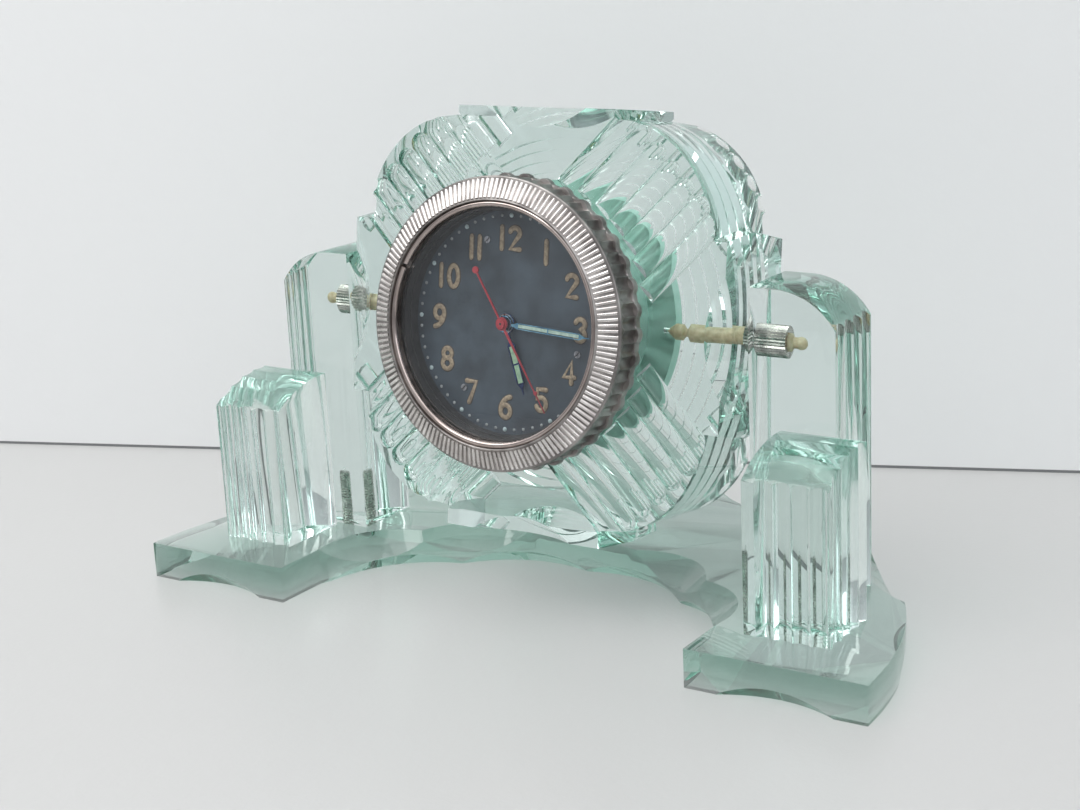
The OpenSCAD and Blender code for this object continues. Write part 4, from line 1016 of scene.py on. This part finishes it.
class DESKCLOCK_OT_bezel(bpy.types.Operator):
    """Makes the fluted winding bezel with its ribs, the retaining ring and the crystal"""

    bl_idname = "desk_clock.bezel"
    bl_label = "Bezel"

    # Play between the window and the crystal, and between the bezel's back and the neck
    play = 0.3
    # Width of the ledge that carries the crystal
    ledge = 1.4
    # How far the rear lobes stand out, their radius and the height of their band
    lobe_out, lobe_radius, lobe_height = 0.7, 2.6, 2.2
    # How far the band between the lobes lies under the rim
    lobe_root = 0.1
    # Half width and depth of a grip flute, and the plain rim over it
    flute_half, flute_depth, plain_rim = 1.5, 0.75, 0.5
    # Rows down a flute's round end, and corners of the ring for each flute
    flute_rows, flute_corners = 8, 10
    slope_height = 2.3
    # Distances of a rib's ends from the window and the rim, and its width as a share of the pitch
    rib_in, rib_out = 0.7, 0.8
    # Distances from the window and the rim at which the ribs' pitch is measured
    pitch_in, pitch_out = 0.5, 0.6
    share_in, share_out = 0.88, 0.9
    # How far the middle line of a rib's ends lies under the bezel's top and over the slope's foot
    rib_under, rib_over = 0.55, 0.02
    rib_sharp, crystal_sharp = 50.0, 20.0

    def execute(self, context):
        values = settings()
        low, high = clock_span("bezel_ring")
        window = clock_span("crystal")[1].x + self.play
        skirt_low = low.z
        back = clock_span("neck_ring")[1].z + self.play
        seat = clock_span("crystal")[0].z
        top = high.z
        rim = high.x - self.lobe_out
        slope_low = top - self.slope_height
        flute_radius = (self.flute_half**2 + self.flute_depth**2) / (2 * self.flute_depth)
        flute_end = slope_low - self.plain_rim
        lobe_top = back + self.lobe_height

        def from_middle(degrees, count):
            """Degrees from the middle of the nearest of count equal steps."""
            pitch = 360 / count
            return (degrees + pitch / 2) % pitch - pitch / 2

        def lobed(degrees):
            off = math.radians(from_middle(degrees, values.lobe_count))
            centre = rim - self.lobe_radius + self.lobe_out
            under = self.lobe_radius**2 - (centre * math.sin(off)) ** 2
            bulge = centre * math.cos(off) + math.sqrt(under) if under > 0 else 0
            return max(rim - self.lobe_root, bulge)

        def fluted(degrees, z):
            off = math.radians(from_middle(degrees, values.flute_count)) * rim
            beyond = max(0.0, z - (flute_end - self.flute_half))
            away = math.hypot(off, beyond)
            if away >= self.flute_half:
                return rim
            return rim - (math.sqrt(flute_radius**2 - away**2) - flute_radius + self.flute_depth)

        def section(degrees):
            lobe, flute = lobed(degrees), fluted(degrees, back)
            # Skirt inside the neck
            points = [(window - self.ledge, skirt_low), (window - 0.2, skirt_low), (window - 0.2, back)]
            # Lobed band with its eased edges
            points += [(lobe - 0.35, back), (lobe - 0.1, back + 0.1), (lobe, back + 0.35)]
            points += [(lobe, lobe_top - 0.3), (lobe - 0.15, lobe_top - 0.06), (flute - 0.05, lobe_top)]
            # Grip flutes with their round ends
            points.append((fluted(degrees, lobe_top + 0.1), lobe_top + 0.1))
            for i in range(self.flute_rows + 1):
                z = flute_end - self.flute_half * (1 - i / self.flute_rows)
                points.append((fluted(degrees, z), z))
            # Plain rim and its eased edge
            points += [(rim, flute_end + 0.3), (rim, slope_low - 0.2), (rim - 0.12, slope_low - 0.02)]
            # Slope under the ribs, from its foot to the lip
            points += [(rim - 0.35, slope_low + 0.05), (rim - 0.75, slope_low + 0.05)]
            points += [(window + 0.6, top - 0.42), (window + 0.4, top - 0.1), (window + 0.25, top - 0.02)]
            # Rounded lip, window and the crystal's ledge
            points += [(window + 0.1, top - 0.08), (window, top - 0.3)]
            points += [(window, seat), (window - self.ledge, seat)]
            return points

        body = ring_mesh("bezel_body", section, values.flute_count * self.flute_corners)
        # The body under the ribs takes the darker plate, as painted shade of the cuts between them
        dress(body, grimed_nickel(), "bezel", CUT_SHARP, ("bezel_ring",))

        inner_pitch = 2 * math.pi * (window + self.pitch_in) / values.rib_count
        outer_pitch = 2 * math.pi * (rim - self.pitch_out) / values.rib_count
        ribs = ring_of(
            "bezel_ribs", bar_shape, values.rib_count, worn_nickel(),
            inner_radius=window + self.rib_in, outer_radius=rim - self.rib_out,
            inner_height=top - self.rib_under, outer_height=slope_low + self.rib_over,
            inner_width=inner_pitch * self.share_in, outer_width=outer_pitch * self.share_out)
        dress(ribs, worn_nickel(), "bezel", self.rib_sharp)

        polished("crystal_retainer", polished_nickel(), CUT_SHARP)
        polished("crystal", mineral_crystal(), self.crystal_sharp)
        polished("winding_ring", turned_steel())
        return {"FINISHED"}


class DESKCLOCK_OT_case(bpy.types.Operator):
    """Finishes the case, its neck, nut, rear cover and screws"""

    bl_idname = "desk_clock.case"
    bl_label = "Case"

    def execute(self, context):
        for node in ("case_body", "neck_ring", "rear_cover"):
            polished(node, turned_steel())
        polished("clamp_nut", anodised_aluminium())
        polished("cover_screws", knurled_steel())
        return {"FINISHED"}


class DESKCLOCK_OT_dial(bpy.types.Operator):
    """Paints the dial, raises its numerals and dots, and dresses its screws and shade ring"""

    bl_idname = "desk_clock.dial"
    bl_label = "Dial"

    # Height of the numerals' paint, and width and height of the dark rim round it, painted shade of its
    # raised edges
    bead_height = 0.32
    edge, edge_height = 0.32, 0.14
    # Gap between two digits as a share of their height
    gap = 0.2
    # Radii of the dots, and how far their middles lie over the dial
    small_dot, large_dot = 0.43, 0.62
    small_lift, large_lift = 0.02, 0.03
    # Half length and width of a screw's slot, drawn as a dark strip of painted shade, how deep the strip
    # goes and how proud it stands
    slot_half, slot_width = 0.85, 0.26
    slot_sunk, slot_proud = 0.1, 0.01
    slot_turn = 45
    # Corners of the screws' mesh that are nearer than this belong to one screw
    apart = 4

    def strokes(self, values):
        """The lines of all twelve numerals on the dial, in millimetres."""
        width = values.stroke_width / MM
        rise = values.numeral_height / MM - width
        digits = numeral_strokes()
        lines = []
        for hour in range(1, 13):
            x, y = polar(values.numeral_ring / MM, 90 - 30 * hour)
            text, space = str(hour), width + self.gap * rise
            start = x - (sum(digits[d][0] for d in text) * rise + (len(text) - 1) * space) / 2
            for digit in text:
                for line in digits[digit][1]:
                    lines.append([(start + px * rise, y + (py - 0.5) * rise) for px, py in line])
                start += digits[digit][0] * rise + space
        return lines, width

    def screw_spots(self):
        """Middles of the dial's screws, in the clock's frame."""
        groups = []
        for p in clock_points(frame["nodes"]["dial_screws"]):
            near = [g for g in groups if math.hypot(g[0].x - p.x, g[0].y - p.y) < self.apart]
            if near:
                near[0].append(p)
            else:
                groups.append([p])
        return [tuple((min(p[i] for p in g) + max(p[i] for p in g)) / 2 for i in (0, 1)) for g in groups]

    def execute(self, context):
        values = settings()
        level = clock_span("dial")[1].z
        lines, width = self.strokes(values)
        ring = values.dot_ring / MM
        numerals = bead_mesh("dial_numerals", lines, width, self.bead_height, level)
        # A wider, lower dark bead under each numeral shows round it as painted shade of its raised edge
        edges = bead_mesh("dial_numeral_edges", lines, width + self.edge, self.edge_height, level)
        small = ring_of("minute_dots", dot_shape, 60, dull_dots(), skip=5,
                        dot_radius=self.small_dot, at_radius=ring, at_height=level + self.small_lift)
        large = ring_of("five_minute_dots", dot_shape, 12, dot_lume(),
                        dot_radius=self.large_dot, at_radius=ring, at_height=level + self.large_lift)
        for mesh, paint in ((numerals, numeral_paint()), (edges, numeral_edge()),
                            (small, dull_dots()), (large, dot_lume())):
            dress(mesh, paint, "head", ROUND_SHARP)

        polished("dial", dial_paint())
        polished("dial_screws", tool_steel())
        top = clock_span("dial_screws")[1].z
        ax, ay = polar(self.slot_half, self.slot_turn)
        bx, by = polar(self.slot_width / 2, self.slot_turn + 90)
        corners = ((ax + bx, ay + by), (bx - ax, by - ay), (-ax - bx, -ay - by), (ax - bx, ay - by))
        slots = [[(x + cx, y + cy) for cx, cy in corners] for x, y in self.screw_spots()]
        # Flat black strips on the screw heads stand for their slots: painted shade, not cut into the heads
        slot_shade_strips = slab_mesh("dial_screw_slot_shade", slots, top - self.slot_sunk, top + self.slot_proud)
        dress(slot_shade_strips, black_paint(), "head")
        polished("rehaut_ring", black_paint())
        return {"FINISHED"}


class DESKCLOCK_OT_hands(bpy.types.Operator):
    """Blues the hands, fills their windows with luminous paint and lacquers the seconds hand"""

    bl_idname = "desk_clock.hands"
    bl_label = "Hands"

    # Length and width of the windows and the dark tip beyond them, as in the part's source
    hour_window = (10.0, 2.2)
    minute_window = (18.5, 1.6)
    tip = 3.0
    # Width of the metal beside a window and, across it, before, between and after its two fills
    border = 0.4
    start_bar, half_bar, end_bar = 0.3, 0.2, 0.1
    # How far the fill stays under and over the hand's two faces
    fill_low, fill_high = 0.08, 0.05
    # The seconds hand was filed thin between its hub and its weight
    bar_half, tail_end, hub_end, thinning = 0.5, -14.3, 2.0, 0.4
    # The polished ring on the hour hand's hub: its radii, height and eased corners
    hub_in, hub_out, hub_rise, hub_ease = 1.9, 2.5, 0.12, 0.05
    # Section of the black dot on the seconds hand's hub: radii, and heights over the hand
    cap = ((0, -0.1), (0.34, -0.1), (0.34, 0.02), (0.24, 0.05), (0, 0.06))

    def fill(self, name, node, window, body, lume):
        """Luminous paint in the two windows of a hand."""
        length, width = window
        points = clock_points(frame["nodes"][node])
        end = max(points, key=lambda p: math.hypot(p.x, p.y))
        reach, turn = math.hypot(end.x, end.y), math.atan2(end.y, end.x)
        low, high = min(p.z for p in points), max(p.z for p in points)
        far = reach - self.tip
        near = far - length
        mid = (near + far) / 2
        half = width / 2 - self.border
        boxes = [(near + self.start_bar, mid - self.half_bar), (mid + self.half_bar, far - self.end_bar)]
        outlines = [[(a, -half), (b, -half), (b, half), (a, half)] for a, b in boxes]
        turned = [[(x * math.cos(turn) - y * math.sin(turn), x * math.sin(turn) + y * math.cos(turn))
                   for x, y in outline] for outline in outlines]
        mesh = slab_mesh(name, turned, low + self.fill_low, high - self.fill_high)
        dress(mesh, lume, body)

    def thin(self, hand):
        """Files the seconds hand's bar thin on both sides of its hub."""
        spots = clock_points(hand)
        tip = max(spots, key=lambda p: math.hypot(p.x, p.y))
        along = Vector((tip.x, tip.y, 0)).normalized()
        across = Vector((-along.y, along.x, 0))
        for v, p in zip(hand.data.vertices, spots):
            a, t = p.dot(along), p.dot(across)
            if abs(t) < self.bar_half and a > self.tail_end and abs(a) > self.hub_end:
                v.co = CLOCK @ ((p - across * t * self.thinning) * MM)

    def execute(self, context):
        polished("hour_hand", blued_steel(), FINE_SHARP)
        polished("minute_hand", bright_blued_steel(), FINE_SHARP)
        self.thin(polished("seconds_hand", red_enamel(), FINE_SHARP))
        hub = clock_span("hour_hand")[1].z
        over, ease = hub + self.hub_rise, self.hub_ease
        ring = [(self.hub_in, hub), (self.hub_out, hub)]
        ring += [(self.hub_out - ease, over), (self.hub_in + ease, over)]
        hub_ring = ring_mesh("hour_hub_ring", lambda degrees: ring, 48)
        dress(hub_ring, polished_nickel(), "hours")
        self.fill("hour_hand_lume", "hour_hand", self.hour_window, "hours", green_lume())
        self.fill("minute_hand_lume", "minute_hand", self.minute_window, "minutes", pale_lume())
        top = clock_span("seconds_hand")[1].z
        cap = turned_mesh("seconds_cap", [(radius, top + height) for radius, height in self.cap], 24)
        dress(cap, black_paint(), "seconds", CUT_SHARP)
        return {"FINISHED"}


class DESKCLOCK_OT_movement(bpy.types.Operator):
    """Gives every metal node a finish, which shows on those that no later step replaces"""

    bl_idname = "desk_clock.movement"
    bl_label = "Movement"

    metals = {
        "brass": satin_brass, "movement_steel": tool_steel, "blued_steel": blued_steel,
        "case_steel": turned_steel, "bright_steel": knurled_steel,
    }

    def execute(self, context):
        for node, piece in frame["nodes"].items():
            if SLOTS[node] in self.metals:
                piece.data.materials.clear()
                piece.data.materials.append(self.metals[SLOTS[node]]())
        return {"FINISHED"}


STEPS = (
    DESKCLOCK_OT_camera,
    DESKCLOCK_OT_stage,
    DESKCLOCK_OT_movement,
    DESKCLOCK_OT_stand,
    DESKCLOCK_OT_pivots,
    DESKCLOCK_OT_case,
    DESKCLOCK_OT_bezel,
    DESKCLOCK_OT_dial,
    DESKCLOCK_OT_hands,
)


class DESKCLOCK_PT_panel(bpy.types.Panel):
    """Lists the desk clock's settings and steps"""

    bl_label = "Desk clock"
    bl_idname = "DESKCLOCK_PT_panel"
    bl_space_type = "VIEW_3D"
    bl_region_type = "UI"
    bl_category = "Desk clock"

    def draw(self, context):
        values = settings()
        for name in values.bl_rna.properties.keys():
            if name not in ("rna_type", "name"):
                self.layout.prop(values, name)
        for step in STEPS:
            self.layout.operator(step.bl_idname)


CLASSES = (DeskClockSettings, *STEPS, DESKCLOCK_PT_panel)


def register():
    """Registers the classes and hangs the settings on the scene."""
    for each in CLASSES:
        bpy.utils.register_class(each)
    bpy.types.Scene.desk_clock = bpy.props.PointerProperty(type=DeskClockSettings)


def unregister():
    """Takes the settings and the classes away again."""
    del bpy.types.Scene.desk_clock
    for each in reversed(CLASSES):
        bpy.utils.unregister_class(each)


def main():
    """Registers the add-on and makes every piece."""
    register()
    for step in STEPS:
        group, name = step.bl_idname.split(".")
        getattr(getattr(bpy.ops, group), name)()


if __name__ == "__main__":
    main()
